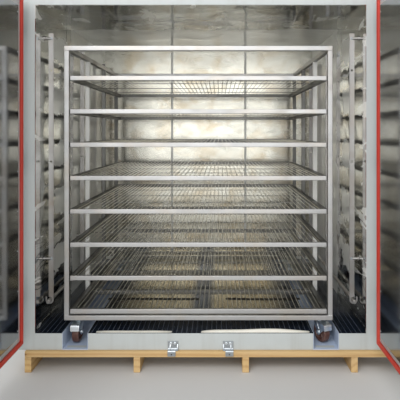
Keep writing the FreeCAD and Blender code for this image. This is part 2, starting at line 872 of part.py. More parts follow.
def controlCabinet():
    """A steel cabinet beside the body, on the same pallet."""
    inset = "plinthInset"
    node("cabinet_plinth", slab(
        "plinth", (outerHalf, f"cabinetWidth - {inset}"), (f"cabinetFront + {inset}", f"cabinetDepth - 2 * {inset}"),
        (deckTop, "plinthHeight"),
    ))
    bottom = f"({deckTop} + plinthHeight)"
    node("control_cabinet", slab(
        "cabinet", (outerHalf, "cabinetWidth"), ("cabinetFront", "cabinetDepth"),
        (bottom, "cabinetHeight - plinthHeight"),
    ))
    front = "(cabinetFront - panelThick)"
    node("cabinet_door", slab(
        "panel", (f"{outerHalf} + panelMargin", "cabinetWidth - 2 * panelMargin"), (front, "panelThick"),
        (f"{bottom} + panelMargin", "cabinetHeight - plinthHeight - 2 * panelMargin"),
    ))
    middle = f"({outerHalf} + cabinetWidth / 2)"
    screen = slab(
        "screen", (f"{middle} - screenWidth / 2", "screenWidth"), (f"{front} - screenThick", "screenThick"),
        (f"{deckTop} + screenBottom", "screenHeight"),
    )
    lamps = [
        rod(
            f"lamp_{index + 1}", "lampRadius", "switchDepth / 2",
            f"{middle} + ({index} - (lampCount - 1) / 2) * lampPitch", front,
            f"{deckTop} + screenBottom - lampPitch", axis="y",
        )
        for index in range(sizes["lampCount"])
    ]
    for lamp in lamps:
        turn(lamp, (1, 0, 0), "90")
        bind(lamp, Placement_Base_y=f"{originY} + {front}")
    switch = rod(
        "main_switch", "switchRadius", "switchDepth", middle, front,
        f"{deckTop} + screenBottom - 3 * lampPitch", axis="y",
    )
    turn(switch, (1, 0, 0), "90")
    bind(switch, Placement_Base_y=f"{originY} + {front}")
    node("control_fittings", join("group", "fittings", [screen, *lamps, switch]))


timberPallet()
insulatedBody()
trolleyGuides()
doorKeepers()
doorHinges()
doors()
trolley()
casters()
roofEquipment()
controlCabinet()
document.recompute()

for thing in document.Objects:
    if "Invalid" in thing.State or "Error" in thing.State:
        raise RuntimeError(f"{thing.Label} failed: {thing.State}")
os.makedirs("parts", exist_ok=True)
for piece in nodes:
    shape = piece.Shape
    if shape.isNull() or not shape.isValid():
        raise RuntimeError(f"{piece.Label} has no valid shape")
    shape.exportStep(f"parts/{piece.Label}.step")
    print(piece.Label, len(shape.Solids), "solids", round(shape.Volume / 1e6, 2), "litres")
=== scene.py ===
import math
import random

import bmesh
import bpy
from mathutils import Matrix, Vector, noise


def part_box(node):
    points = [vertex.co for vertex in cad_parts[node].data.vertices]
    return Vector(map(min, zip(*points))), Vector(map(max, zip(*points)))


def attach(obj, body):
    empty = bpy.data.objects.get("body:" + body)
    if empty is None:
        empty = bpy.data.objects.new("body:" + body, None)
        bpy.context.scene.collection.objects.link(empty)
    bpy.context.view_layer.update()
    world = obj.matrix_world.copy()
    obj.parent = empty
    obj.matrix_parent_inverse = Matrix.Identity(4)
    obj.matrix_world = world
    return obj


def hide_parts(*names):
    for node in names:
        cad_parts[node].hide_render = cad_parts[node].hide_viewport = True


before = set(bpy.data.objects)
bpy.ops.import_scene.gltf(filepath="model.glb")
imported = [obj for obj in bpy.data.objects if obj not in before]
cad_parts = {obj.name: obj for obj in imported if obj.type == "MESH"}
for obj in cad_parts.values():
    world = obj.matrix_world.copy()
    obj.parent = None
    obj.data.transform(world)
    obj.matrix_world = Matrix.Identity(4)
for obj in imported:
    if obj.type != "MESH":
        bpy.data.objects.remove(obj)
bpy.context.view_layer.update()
dice = random.Random(11)
# Without a seed of its own, noise_vector would differ from run to run.
noise.seed_set(11)


def span(name):
    low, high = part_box(name)
    return Vector(low), Vector(high)


# Places are given from the oven's centre plane, the front face of its body and the ground.
centreX = (span("left_wall")[0].x + span("right_wall")[1].x) / 2
faceY = span("left_wall")[0].y


def at(x, y, z):
    return Vector((centreX + x, faceY + y, z))


def inOven(point):
    return Vector((point.x - centreX, point.y - faceY, point.z))


def local(name):
    # The low and high corner of a node's box.
    return [inOven(corner) for corner in span(name)]


def sided(sign, first, second):
    # A stretch given for the right side, on the side of that sign.
    return sorted((sign * first, sign * second))


def mirrored(sign, outline):
    return [(sign * x, other) for x, other in outline]


def spread(start, end, count):
    # Evenly spaced places, both ends with them.
    return [start + (end - start) * index / (count - 1) for index in range(count)]


def shaded(colour, factor, lift=0.0):
    return tuple(min(1, part * factor + lift) for part in colour)


print("frame loaded")

cameraView = {
    "x": 0.115,
    "distance": 3.058,
    "height": 1.448,
    "lens": 45.45,
    "sensor": 36,
    "shiftX": -0.049,
    "shiftY": -0.17,
}


def makeCamera():
    camera = bpy.data.cameras.new("camera")
    camera.lens = cameraView["lens"]
    camera.sensor_width = cameraView["sensor"]
    camera.shift_x = cameraView["shiftX"]
    camera.shift_y = cameraView["shiftY"]
    thing = bpy.data.objects.new("camera", camera)
    thing.location = at(cameraView["x"], -cameraView["distance"], cameraView["height"])
    thing.rotation_euler = (math.radians(90), 0, 0)
    bpy.context.collection.objects.link(thing)
    bpy.context.scene.camera = thing


class Value:
    # A shader socket that can be calculated with.
    def __init__(self, look, socket):
        self.look = look
        self.socket = socket

    def math(self, operation, *others, first=None):
        values = [first if first is not None else self, *others]
        return self.look.node("Math", {"operation": operation}, dict(enumerate(values)))

    def __add__(self, other):
        return self.math("ADD", other)

    def __sub__(self, other):
        return self.math("SUBTRACT", other)

    def __rsub__(self, other):
        return self.math("SUBTRACT", self, first=other)

    def __mul__(self, other):
        return self.math("MULTIPLY", other)

    def __truediv__(self, other):
        return self.math("DIVIDE", other)

    def __pow__(self, other):
        return self.math("POWER", other)

    __radd__ = __add__
    __rmul__ = __mul__

    def clamp(self, low=0.0, high=1.0):
        return self.math("MAXIMUM", low).math("MINIMUM", high)

    def between(self, start, end):
        # 0 below start, 1 above end.
        return ((self - start) / (end - start)).clamp()


class Look:
    def __init__(self, name, owner=None):
        self.owner = owner or bpy.data.materials.new(name)
        self.owner.use_nodes = True
        self.tree = self.owner.node_tree
        self.tree.nodes.clear()

    def feed(self, socket, value):
        if isinstance(value, Value):
            self.tree.links.new(value.socket, socket)
        elif isinstance(value, (tuple, list)) and socket.type == "RGBA" and len(value) == 3:
            socket.default_value = (*value, 1)
        else:
            socket.default_value = value

    def node(self, kind, settings, inputs, output=0):
        made = self.tree.nodes.new("ShaderNode" + kind)
        for name, value in settings.items():
            setattr(made, name, value)
        for name, value in inputs.items():
            self.feed(made.inputs[name], value)
        return Value(self, made.outputs[output])

    def places(self, stretch=(1, 1, 1), attribute=None):
        if attribute:
            source = self.node("Attribute", {"attribute_name": attribute}, {}, "Vector")
        else:
            source = self.node("TexCoord", {}, {}, "Object")
        return self.node("Mapping", {}, {"Vector": source, "Scale": stretch})

    def axis(self, name, attribute=None):
        return self.node("SeparateXYZ", {}, {"Vector": self.places(attribute=attribute)}, name)

    def noise(self, scale, detail=3, stretch=(1, 1, 1), rough=0.5, warp=0.0, attribute=None):
        return self.node("TexNoise", {}, {
            "Vector": self.places(stretch, attribute), "Scale": scale, "Detail": detail,
            "Roughness": rough, "Distortion": warp,
        }, "Fac")

    def mix(self, factor, first, second):
        return self.node("Mix", {"data_type": "RGBA"}, {0: factor, 6: first, 7: second}, 2)

    def bump(self, height, distance, strength, normal=None):
        inputs = {"Height": height, "Distance": distance, "Strength": strength}
        if normal:
            inputs["Normal"] = normal
        return self.node("Bump", {}, inputs)

    def edges(self, radius=0.004):
        # 1 along edges and 0 on flats, from how far a rounded normal leans.
        rounded = self.node("Bevel", {"samples": 4}, {"Radius": radius})
        true = self.node("NewGeometry", {}, {}, "Normal")
        lean = self.node("VectorMath", {"operation": "DOT_PRODUCT"}, {0: rounded, 1: true}, "Value")
        return (1 - lean).between(0.01, 0.12)

    def finish(self, **inputs):
        inputs = {name.replace("_", " "): value for name, value in inputs.items()}
        shader = self.node("BsdfPrincipled", {}, inputs)
        out = self.tree.nodes.new("ShaderNodeOutputMaterial")
        self.tree.links.new(shader.socket, out.inputs["Surface"])
        return self.owner


# Painted sheet: satin coat with orange peel, faint waves, dust low down and rubbed edges.
def paint(name, colour, rough=0.36, dirt=0.25, edge=0.35):
    look = Look(name)
    broad = look.noise(0.9, 3)
    streaks = look.noise(4, 4, (6, 6, 0.35))
    specks = look.noise(55, 5, rough=0.7)
    base = look.mix(broad, colour, shaded(colour, 0.93))
    grime = tuple(part * factor for part, factor in zip(colour, (0.62, 0.57, 0.5)))
    low = 1 - look.axis("Z").between(0.13, 0.32)
    film = (streaks.between(0.5, 0.78) * dirt + low * look.noise(7, 5).between(0.35, 0.75) * dirt).clamp()
    base = look.mix(film, base, grime)
    base = look.mix(specks.between(0.68, 0.8) * dirt, base, grime)
    base = look.mix(look.edges() * edge * look.noise(18, 4).between(0.3, 0.7), base, (0.72, 0.72, 0.7))
    peel = look.bump(look.noise(420, 2), 0.00012, 0.5)
    relief = look.bump(look.noise(1.6, 2), 0.002, 0.6, peel)
    return look.finish(
        Base_Color=base, Roughness=rough + 0.14 * streaks + 0.2 * film, Normal=relief,
        Coat_Weight=0.1 + 0.1 * broad, Specular_IOR_Level=0.45,
    )


# Steel sheet and bar: brushed along one direction, with waves, smears, warm stains and scratches.
# A tint lies on the metal; a film, passed as scale, covers it in places as painted reflection or painted
# shade; and ribs are fine stripes along y.
def steel(name, colour, stain, rough, wave=0.0, brushed=(1, 1, 40), smear=0.15, stains=0.3,
          ribs=None, tint=None, scale=None):
    look = Look(name)
    lines = look.noise(26, 4, brushed, rough=0.65)
    patches = look.noise(5.5, 5, warp=0.6)
    smears = look.noise(3, 4, (1, 1, 2.2), warp=1.5)
    scores = look.noise(60, 2, (0.6, 0.6, 7), warp=0.4).between(0.66, 0.7) * 0.3
    base = look.mix(lines * 0.35, colour, shaded(colour, 0.72))
    base = look.mix(patches.between(0.45, 0.75) * stains, base, stain)
    base = look.mix(look.edges(0.002) * 0.5, base, shaded(colour, 1.25, 0.05))
    base = look.mix(scores, base, shaded(colour, 1.35))
    if tint:
        base = look.mix(tint[0](look), base, tint[1])
    metal = 1.0
    extra = {}
    # The scale film is painted light: pale where it paints reflections, dark where it paints shade.
    if scale:
        mask = scale["where"](look)
        base = look.mix(mask, base, scale["colour"])
        metal = 1 - mask
        extra = {"Specular_IOR_Level": scale["sheen"]}
    # The ribs are painted reflections of wires: stripes of colour with no relief.
    if ribs:
        pitch, tone = ribs
        swing = (look.axis("X") * (math.tau / pitch) + look.noise(1.1, 1) * 0.6).math("SINE")
        base = look.mix(swing.between(0.93, 0.99) * look.noise(6, 3).between(0.2, 0.7), base, tone)
    grain = look.bump(lines, 0.00006, 0.35)
    relief = look.bump(look.noise(2.2, 2, warp=0.5), wave, 1.0, grain) if wave else grain
    dull = rough + smear * smears.between(0.45, 0.8) + 0.12 * lines + 0.2 * scores
    return look.finish(
        Base_Color=base, Metallic=metal, Normal=relief, Roughness=dull.clamp(0.03, 0.9), **extra,
    )


# Where the side walls get pale painted reflections: one wavy patch behind the jamb, the deep end, and thin
# clouds.
def wallPaintedLight(look):
    wobble = look.noise(2.6, 3, warp=1.4) - 0.5
    deep = look.axis("Y") - faceY + wobble * 0.34
    up = look.axis("Z") + wobble * 0.25
    wave = (up * (math.tau / 0.36) + 4.0).math("SINE").between(-0.1, 0.1)
    near = deep.between(0.28, 0.31) * (1 - deep.between(0.56, 0.60)) * up.between(0.46, 0.48) * wave
    far = deep.between(0.72, 0.76)
    thin = look.noise(7, 3, (1.0, 0.5, 1.6), warp=0.8).between(0.60, 0.63) * 0.7
    return (near + far + thin).clamp() * 0.97


# Painted dark reflections and painted shade on the chamber's bright sheets, heavy near the floor and faint
# higher up.
def paintedDarkReflections(look):
    runs = look.noise(3.8, 3, (1.0, 0.5, 1.6), rough=0.5, warp=2.0)
    marks = runs.between(0.50, 0.52) * (1 - runs.between(0.56, 0.58)) + runs.between(0.66, 0.69)
    return marks.clamp() * (0.92 - 0.80 * look.axis("Z").between(0.62, 0.95))


# Painted shade on the floor sheet's front edge: a dark film where the light from outside would else wash it
# out.
def floorPaintedShade(look):
    deep = look.axis("Y") - faceY + look.noise(4, 3) * 0.06
    return (1 - deep.between(0.30, 0.44)) * 0.98


# Heat tint on the floor sheet, in two fields behind the first trolley tube.
def floorHeat(look):
    deep = look.axis("Y") - faceY + look.noise(3, 3) * 0.1
    side = (look.axis("X") - centreX + 0.01).math("ABSOLUTE")
    return deep.between(0.28, 0.42) * side.between(0.05, 0.09) * (1 - side.between(0.5, 0.62)) * 0.9


# Softwood sawn across its rings: the grain attribute runs x along each board.
def timber(name, tone):
    look = Look(name)
    pale, warm, dark = tone["pale"], tone["warm"], tone["dark"]
    bend = look.noise(2.2, 3, (0.35, 3, 3), attribute="grain")
    across = look.axis("Y", "grain")
    up = look.axis("Z", "grain")
    ring = ((across ** 2 + (up + 0.09) ** 2) ** 0.5 * 160 + bend * 9).math("SINE") * 0.5 + 0.5
    fibre = look.noise(90, 6, (0.06, 1, 1), rough=0.7, attribute="grain")
    cloud = look.noise(3.5, 4, (0.5, 2, 2), attribute="grain")
    knot = look.node("TexVoronoi", {"feature": "F1"}, {
        "Vector": look.places((1, 3.2, 3.2), "grain"), "Scale": 3.1, "Randomness": 1.0,
    }, "Distance")
    eye = 1 - knot.between(0.035, 0.075)
    halo = 1 - knot.between(0.06, 0.2)
    base = look.mix(ring ** 3 * 0.75, pale, warm)
    base = look.mix(cloud.between(0.35, 0.8) * 0.5, base, tone["grey"])
    base = look.mix(fibre.between(0.5, 0.9) * 0.45, base, dark)
    base = look.mix(halo * 0.45, base, warm)
    base = look.mix(eye * 0.9, base, tone["knot"])
    saw = look.noise(150, 2, (1.6, 0.25, 0.25), attribute="grain")
    relief = look.bump(fibre * 0.7 + saw * 0.5, 0.0009, 0.7)
    relief = look.bump(ring, 0.0003, 0.4, relief)
    return look.finish(
        Base_Color=base, Roughness=0.74 + 0.18 * fibre, Normal=relief, Specular_IOR_Level=0.25,
    )


def rubber(name, colour, darker, rough=0.45):
    look = Look(name)
    mottle = look.noise(30, 5)
    dust = look.noise(5, 4, (2, 2, 0.5)).between(0.4, 0.8)
    base = look.mix(mottle, colour, darker)
    base = look.mix(dust * 0.1, base, (0.62, 0.5, 0.46))
    relief = look.bump(look.noise(260, 3), 0.0002, 0.5)
    return look.finish(
        Base_Color=base, Roughness=rough + 0.2 * dust, Normal=relief, Specular_IOR_Level=0.4,
        Subsurface_Weight=0.02,
    )


# Moulded resin or enamel with a grained skin and dusty wear.
def moulded(name, colour, worn, rough):
    look = Look(name)
    patches = look.noise(26, 5).between(0.45, 0.75)
    rub = look.edges(0.0035) * look.noise(40, 3).between(0.35, 0.6)
    base = look.mix(patches * 0.5, colour, worn)
    base = look.mix(rub * 0.7, base, shaded(worn, 1.6, 0.04))
    return look.finish(
        Base_Color=base, Roughness=rough + 0.2 * patches, Specular_IOR_Level=0.4,
        Normal=look.bump(look.noise(330, 3), 0.0002, 0.6),
    )


def glowing(name, colour, strength):
    look = Look(name)
    ripple = look.noise(400, 1)
    return look.finish(
        Base_Color=look.mix(ripple, colour, shaded(colour, 0.7)),
        Roughness=0.12 + 0.1 * ripple, Emission_Color=colour, Emission_Strength=strength,
        Coat_Weight=0.5 * ripple,
    )


woodTone = {
    "pale": (0.60, 0.41, 0.185),
    "warm": (0.44, 0.25, 0.09),
    "dark": (0.34, 0.19, 0.08),
    "grey": (0.60, 0.44, 0.26),
    "knot": (0.16, 0.07, 0.03),
}
greyPaint = (0.515, 0.55, 0.545)

pine = timber("pine", woodTone)
bodyPaint = paint("body_paint", greyPaint, dirt=0.22)
doorPaint = paint("door_paint", greyPaint, dirt=0.12)
cabinetPaint = paint("cabinet_paint", (0.50, 0.53, 0.53), rough=0.42, dirt=0.1)
channelPaint = paint("channel_paint", (0.47, 0.56, 0.72), rough=0.3, dirt=0.12, edge=0.8)
lining = steel(
    "bright_lining", (0.50, 0.51, 0.50), (0.34, 0.31, 0.24), 0.03, 0.009, smear=0.04, stains=0.5,
    # Dark tint that paints reflections and shade on the lining.
    tint=(paintedDarkReflections, (0.03, 0.035, 0.04)),
    # Pale film that paints reflections and light on the lining.
    scale={"where": wallPaintedLight, "colour": (0.97, 0.98, 0.93), "sheen": 0.4},
)
doorLining = steel(
    "door_lining", (0.36, 0.37, 0.38), (0.24, 0.22, 0.18), 0.04, 0.0012, smear=0.05, stains=0.4,
)
backLining = steel(
    "back_lining", (0.62, 0.61, 0.54), (0.42, 0.32, 0.18), 0.16, 0.005, smear=0.12, stains=0.6,
)
# The floor sheet's dark navy base is painted shade and dark reflection, not the steel's own colour.
floorSheet = steel(
    "floor_lining", (0.05, 0.065, 0.10), (0.05, 0.05, 0.055), 0.09, 0.001, (40, 1, 1), smear=0.1,
    # Lighter stripes at the shelf wire pitch paint the wires' reflections in the floor.
    ribs=(0.0303, (0.15, 0.17, 0.21)), tint=(floorHeat, (0.54, 0.46, 0.29)),
    # Dark film that paints shade on the floor's front edge.
    scale={"where": floorPaintedShade, "colour": (0.004, 0.008, 0.016), "sheen": 0.02},
)
guideSteel = steel("guide_steel", (0.42, 0.41, 0.40), (0.30, 0.24, 0.18), 0.28, smear=0.2, stains=0.5)
zinc = steel("zinc", (0.44, 0.47, 0.49), (0.26, 0.30, 0.34), 0.3, smear=0.25, stains=0.6)
tubeSteel = steel("trolley_steel", (0.48, 0.48, 0.475), (0.48, 0.42, 0.34), 0.34, smear=0.25, stains=0.55)
# Painted highlight: pale paint on the second row of trolley posts stands in for the light they reflect.
postPaintedHighlight = paint("post_painted_highlight", (0.93, 0.93, 0.89), dirt=0.1)
# Painted shade: dark steel for the trolley's rear tubes and posts, runners and shelf bars, which lie in
# shade.
steelPaintedShade = steel("steel_painted_shade", (0.20, 0.20, 0.19), (0.12, 0.11, 0.09), 0.3, smear=0.2, stains=0.5)
wireSteel = steel("wire_steel", (0.70, 0.68, 0.62), (0.45, 0.38, 0.26), 0.26, brushed=(1, 1, 1), smear=0.2)
casterZinc = steel("caster_zinc", (0.80, 0.85, 0.88), (0.60, 0.66, 0.70), 0.24, smear=0.2, stains=0.35)
wheelResin = moulded("wheel_resin", (0.085, 0.036, 0.028), (0.20, 0.12, 0.095), 0.36)
motorPaint = moulded("motor_paint", (0.055, 0.07, 0.09), (0.10, 0.12, 0.14), 0.45)
stackSteel = steel("stack_steel", (0.55, 0.56, 0.57), (0.40, 0.36, 0.30), 0.26, smear=0.2, stains=0.5)
plinthPaint = moulded("plinth_paint", (0.05, 0.05, 0.055), (0.12, 0.12, 0.12), 0.55)
blackPlastic = moulded("black_plastic", (0.025, 0.025, 0.028), (0.06, 0.06, 0.06), 0.4)
silicone = rubber("silicone", (0.68, 0.055, 0.03), (0.55, 0.035, 0.02))
# Darker silicone for the gasket's groove: painted shade.
siliconeGrooveShade = rubber("silicone_groove_shade", (0.36, 0.035, 0.025), (0.25, 0.02, 0.015))
# Black for the dark floor strip that paints the reflection of a shelf rail.
railReflectionDark = rubber("rail_reflection_dark", (0.012, 0.011, 0.009), (0.03, 0.027, 0.02), 0.6)
sealant = rubber("sealant", (0.78, 0.77, 0.70), (0.66, 0.63, 0.54), 0.35)
print("materials made")


def block(low, high, radius, segments=2, cuts=0, axis=0):
    part = bmesh.new()
    bmesh.ops.create_cube(part, size=1)
    size = high - low
    part.transform(Matrix.Translation((low + high) / 2) @ Matrix.Diagonal((*size, 1)))
    for index in range(1, cuts):
        place = low.copy()
        place[axis] = low[axis] + size[axis] * index / cuts
        normal = Vector((0, 0, 0))
        normal[axis] = 1
        everything = part.verts[:] + part.edges[:] + part.faces[:]
        bmesh.ops.bisect_plane(part, geom=everything, plane_co=place, plane_no=normal)
    return rounded(part, radius, segments)


def rounded(part, radius, segments=2):
    if radius:
        limit = math.radians(50)
        sharp = [edge for edge in part.edges if edge.is_manifold and edge.calc_face_angle(0) > limit]
        bmesh.ops.bevel(
            part, geom=sharp, offset=radius, offset_type="OFFSET", segments=segments, profile=0.5,
            affect="EDGES", clamp_overlap=True,
        )
    return part


def slab(x, y, z, radius, segments=2, cuts=0):
    return block(at(x[0], y[0], z[0]), at(x[1], y[1], z[1]), radius, segments, cuts)


def fill(low, high, radius, segments=2):
    return block(at(*low), at(*high), radius, segments)


def prism(outline, axis, start, end, radius, segments=2):
    # An outline in the two other axes, in their order, run from start to end along one axis.
    part = bmesh.new()
    turn = {
        "x": lambda a, b, t: at(t, a, b),
        "y": lambda a, b, t: at(a, t, b),
        "z": lambda a, b, t: at(a, b, t),
    }[axis]
    rings = [[part.verts.new(turn(a, b, place)) for a, b in outline] for place in (start, end)]
    part.faces.new(rings[0])
    part.faces.new(rings[1][::-1])
    bridge(part, rings[0], rings[1])
    bmesh.ops.recalc_face_normals(part, faces=part.faces)
    return rounded(part, radius, segments)


def bridge(part, first, second):
    # Faces between two rings; a ring of one vertex closes to a point.
    count = max(len(first), len(second))
    for index in range(count):
        after = (index + 1) % count
        if len(first) == 1:
            part.faces.new((first[0], second[index], second[after]))
        elif len(second) == 1:
            part.faces.new((first[index], first[after], second[0]))
        else:
            part.faces.new((first[index], first[after], second[after], second[index]))


def lathe(profile, centre, direction=(0, 0, 1), sides=32, loop=False):
    # Profile points are (radius, place along the direction).
    part = bmesh.new()
    rings = []
    for radius, along in profile:
        if radius < 1e-6:
            rings.append([part.verts.new((0, 0, along))])
        else:
            rings.append([part.verts.new((a, b, along)) for a, b in circle(radius, sides)])
    for first, second in zip(rings, rings[1:]):
        bridge(part, first, second)
    if loop:
        bridge(part, rings[-1], rings[0])
    else:
        for ring in (rings[0], rings[-1]):
            if len(ring) > 1:
                part.faces.new(ring)
    turn = Vector((0, 0, 1)).rotation_difference(Vector(direction)).to_matrix().to_4x4()
    part.transform(Matrix.Translation(centre) @ turn)
    return part


def sweep(section, path, up=(0, 0, 1), closed=False):
    # Runs a closed section, its points as (sideways, up), along a line with mitred corners.
    part = bmesh.new()
    points = [Vector(point) for point in path]
    count = len(points)
    steps = [(points[(index + 1) % count] - points[index]).normalized() for index in range(count)]
    if not closed:
        steps[-1] = steps[-2]
    side = steps[0].cross(Vector(up)).normalized()
    up = side.cross(steps[0]).normalized()
    rings = []
    for index, point in enumerate(points):
        before = steps[index - 1] if closed or index else steps[0]
        after = steps[index]
        normal = (before + after).normalized()
        along = before if index else after
        ring = []
        for a, b in section:
            offset = side * a + up * b
            slide = along * (offset.dot(normal) / along.dot(normal))
            ring.append(part.verts.new(point + offset - slide))
        rings.append(ring)
        if index:
            turn = before.rotation_difference(after)
            side, up = turn @ side, turn @ up
    for first, second in zip(rings, rings[1:]):
        bridge(part, first, second)
    if closed:
        bridge(part, rings[-1], rings[0])
    else:
        part.faces.new(rings[0])
        part.faces.new(rings[-1])
    return part


def circle(radius, sides):
    angles = [math.tau * index / sides for index in range(sides)]
    return [(radius * math.cos(angle), radius * math.sin(angle)) for angle in angles]


def arc(centre, radius, start, end, steps):
    turns = [math.radians(angle) for angle in spread(start, end, steps + 1)]
    return [(centre[0] + radius * math.cos(turn), centre[1] + radius * math.sin(turn)) for turn in turns]


def bar(radius, long, chamfer):
    # The profile of a round bar with chamfered ends.
    return [
        (0, 0), (radius - chamfer, 0), (radius, chamfer),
        (radius, long - chamfer), (radius - chamfer, long), (0, long),
    ]


class Piece:
    def __init__(self, name, body, slot, *looks, matrix=None):
        self.name = name
        self.body = body
        self.slot = slot
        self.looks = looks
        self.matrix = matrix
        self.mesh = bmesh.new()

    def add(self, part, look=0):
        for face in part.faces:
            face.material_index = look
        if self.matrix:
            part.transform(self.matrix)
        carrier = bpy.data.meshes.new("carrier")
        part.to_mesh(carrier)
        part.free()
        self.mesh.from_mesh(carrier)
        bpy.data.meshes.remove(carrier)

    def bolt(self, centre, direction, radius, look=0):
        # A hexagon head on a washer.
        out = Vector(direction).normalized()
        washer, head = ([(radius * a, radius * b) for a, b in boltForm[part]] for part in ("washer", "head"))
        self.add(lathe(washer, centre, out, 20), look)
        self.add(lathe(head, Vector(centre) + out * radius * 0.2, out, 6), look)

    def boltRing(self, centre, reach, count, start, radius, look):
        for index in range(count):
            angle = start + math.tau * index / count
            place = centre + Vector((reach * math.cos(angle), reach * math.sin(angle), 0))
            self.bolt(place, (0, 0, 1), radius, look)

    def screw(self, centre, direction, radius, look=0):
        self.add(lathe([(radius * a, radius * b) for a, b in boltForm["dome"]], centre, direction, 14), look)

    def weld(self, start, end, up=(0, 0, 1)):
        # A bead of small overlapping ripples along a joint.
        sides = 6
        count = max(2, int((end - start).length / weldForm["step"]))
        line = [start.lerp(end, index / count) for index in range(count)] + [end]
        bead = sweep(circle(1, sides), line, up)
        for index, vert in enumerate(bead.verts):
            ring = index // sides
            thick = weldForm["radius"] * (0.8 + 0.2 * math.cos(ring * weldForm["ripple"]))
            vert.co = line[ring] + (vert.co - line[ring]) * thick
        self.add(bead)

    def done(self, *nodes, sharp=38):
        bmesh.ops.recalc_face_normals(self.mesh, faces=self.mesh.faces)
        limit = math.radians(sharp)
        for face in self.mesh.faces:
            face.smooth = True
        for edge in self.mesh.edges:
            edge.smooth = len(edge.link_faces) == 2 and edge.calc_face_angle(0) < limit
        data = bpy.data.meshes.new(self.name)
        self.mesh.to_mesh(data)
        self.mesh.free()
        thing = bpy.data.objects.new(self.name, data)
        bpy.context.collection.objects.link(thing)
        for look in self.looks:
            data.materials.append(look)
        normals = thing.modifiers.new("normals", "WEIGHTED_NORMAL")
        normals.keep_sharp = True
        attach(thing, self.body)
        if nodes:
            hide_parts(*nodes)
        return thing


# Profiles of bolts and screws, in parts of their radius.
boltForm = {
    "washer": [(0, 0), (1.45, 0), (1.45, 0.2), (1.1, 0.22)],
    "head": [(0.9, 0), (1, 0.05), (1, 0.6), (0.85, 0.72)],
    "dome": [(1, 0), (0.95, 0.3), (0.6, 0.55), (0, 0.62)],
}
weldForm = {"radius": 0.0022, "step": 0.0022, "ripple": 2.1}


def dress(name, look):
    # Gives a CAD node that stays in view its material.
    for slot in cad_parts[name].material_slots:
        slot.material = look


palletForm = {
    "boards": 10, "boardWide": 0.140, "bearers": 5, "bearerWide": 0.040,
    "cuts": 24, "rough": 0.0007, "edge": 0.0025,
    "nail": 0.0042, "nailUp": 0.0012, "nailAcross": (0.3, 0.7),
}


def plank(piece, low, high, axis):
    # A timber with shaken faces, and its grain attribute running along the axis.
    part = block(low, high, palletForm["edge"], 2, palletForm["cuts"], axis)
    layer = part.verts.layers.float_vector.new("grain")
    seed = Vector((dice.uniform(0, 40), dice.uniform(-0.05, 0.05), dice.uniform(-0.03, 0.05)))
    middle = (low + high) / 2
    for vert in part.verts:
        place = vert.co - middle
        if axis == 1:
            place = Vector((place.y, place.x, place.z))
        vert[layer] = place + seed
        inside = vert.co + noise.noise_vector((place + seed) * 9) * palletForm["rough"]
        for side in range(3):
            inside[side] = min(max(inside[side], low[side]), high[side])
        vert.co = inside
    piece.add(part)


def makePallet():
    bearerLow, bearerHigh = span("pallet_bearers")
    boardLow, boardHigh = span("pallet_deck_boards")
    bearerWide, boardWide, nailUp = palletForm["bearerWide"], palletForm["boardWide"], palletForm["nailUp"]
    bearerXs = spread(bearerLow.x, bearerHigh.x - bearerWide, palletForm["bearers"])

    bearers = Piece("pallet_bearer_timbers", "oven", "pine", pine)
    for x in bearerXs:
        plank(bearers, Vector((x, *bearerLow.yz)), Vector((x + bearerWide, *bearerHigh.yz)), 1)
    bearers.done("pallet_bearers")

    boards = Piece("pallet_boards", "oven", "pine", pine, zinc)
    nail = [(palletForm["nail"], 0), (0.003, 0.001), (0, nailUp)]
    for y in spread(boardLow.y, boardHigh.y - boardWide, palletForm["boards"]):
        far = y + boardWide
        plank(boards, Vector((boardLow.x, y, boardLow.z)), Vector((boardHigh.x, far, boardHigh.z)), 0)
        for x in bearerXs:
            for across in palletForm["nailAcross"]:
                place = Vector((x + bearerWide / 2, y + boardWide * across, boardHigh.z - nailUp))
                boards.add(lathe(nail, place, sides=10), 1)
    boards.done("pallet_deck_boards")


bodyForm = {
    "edge": 0.0025, "frameDepth": 0.045, "panels": 3, "joint": 0.003, "blockBack": 0.1,
    "screws": 4, "screw": 0.0045, "screwIn": 0.06, "screwUp": 0.05,
}


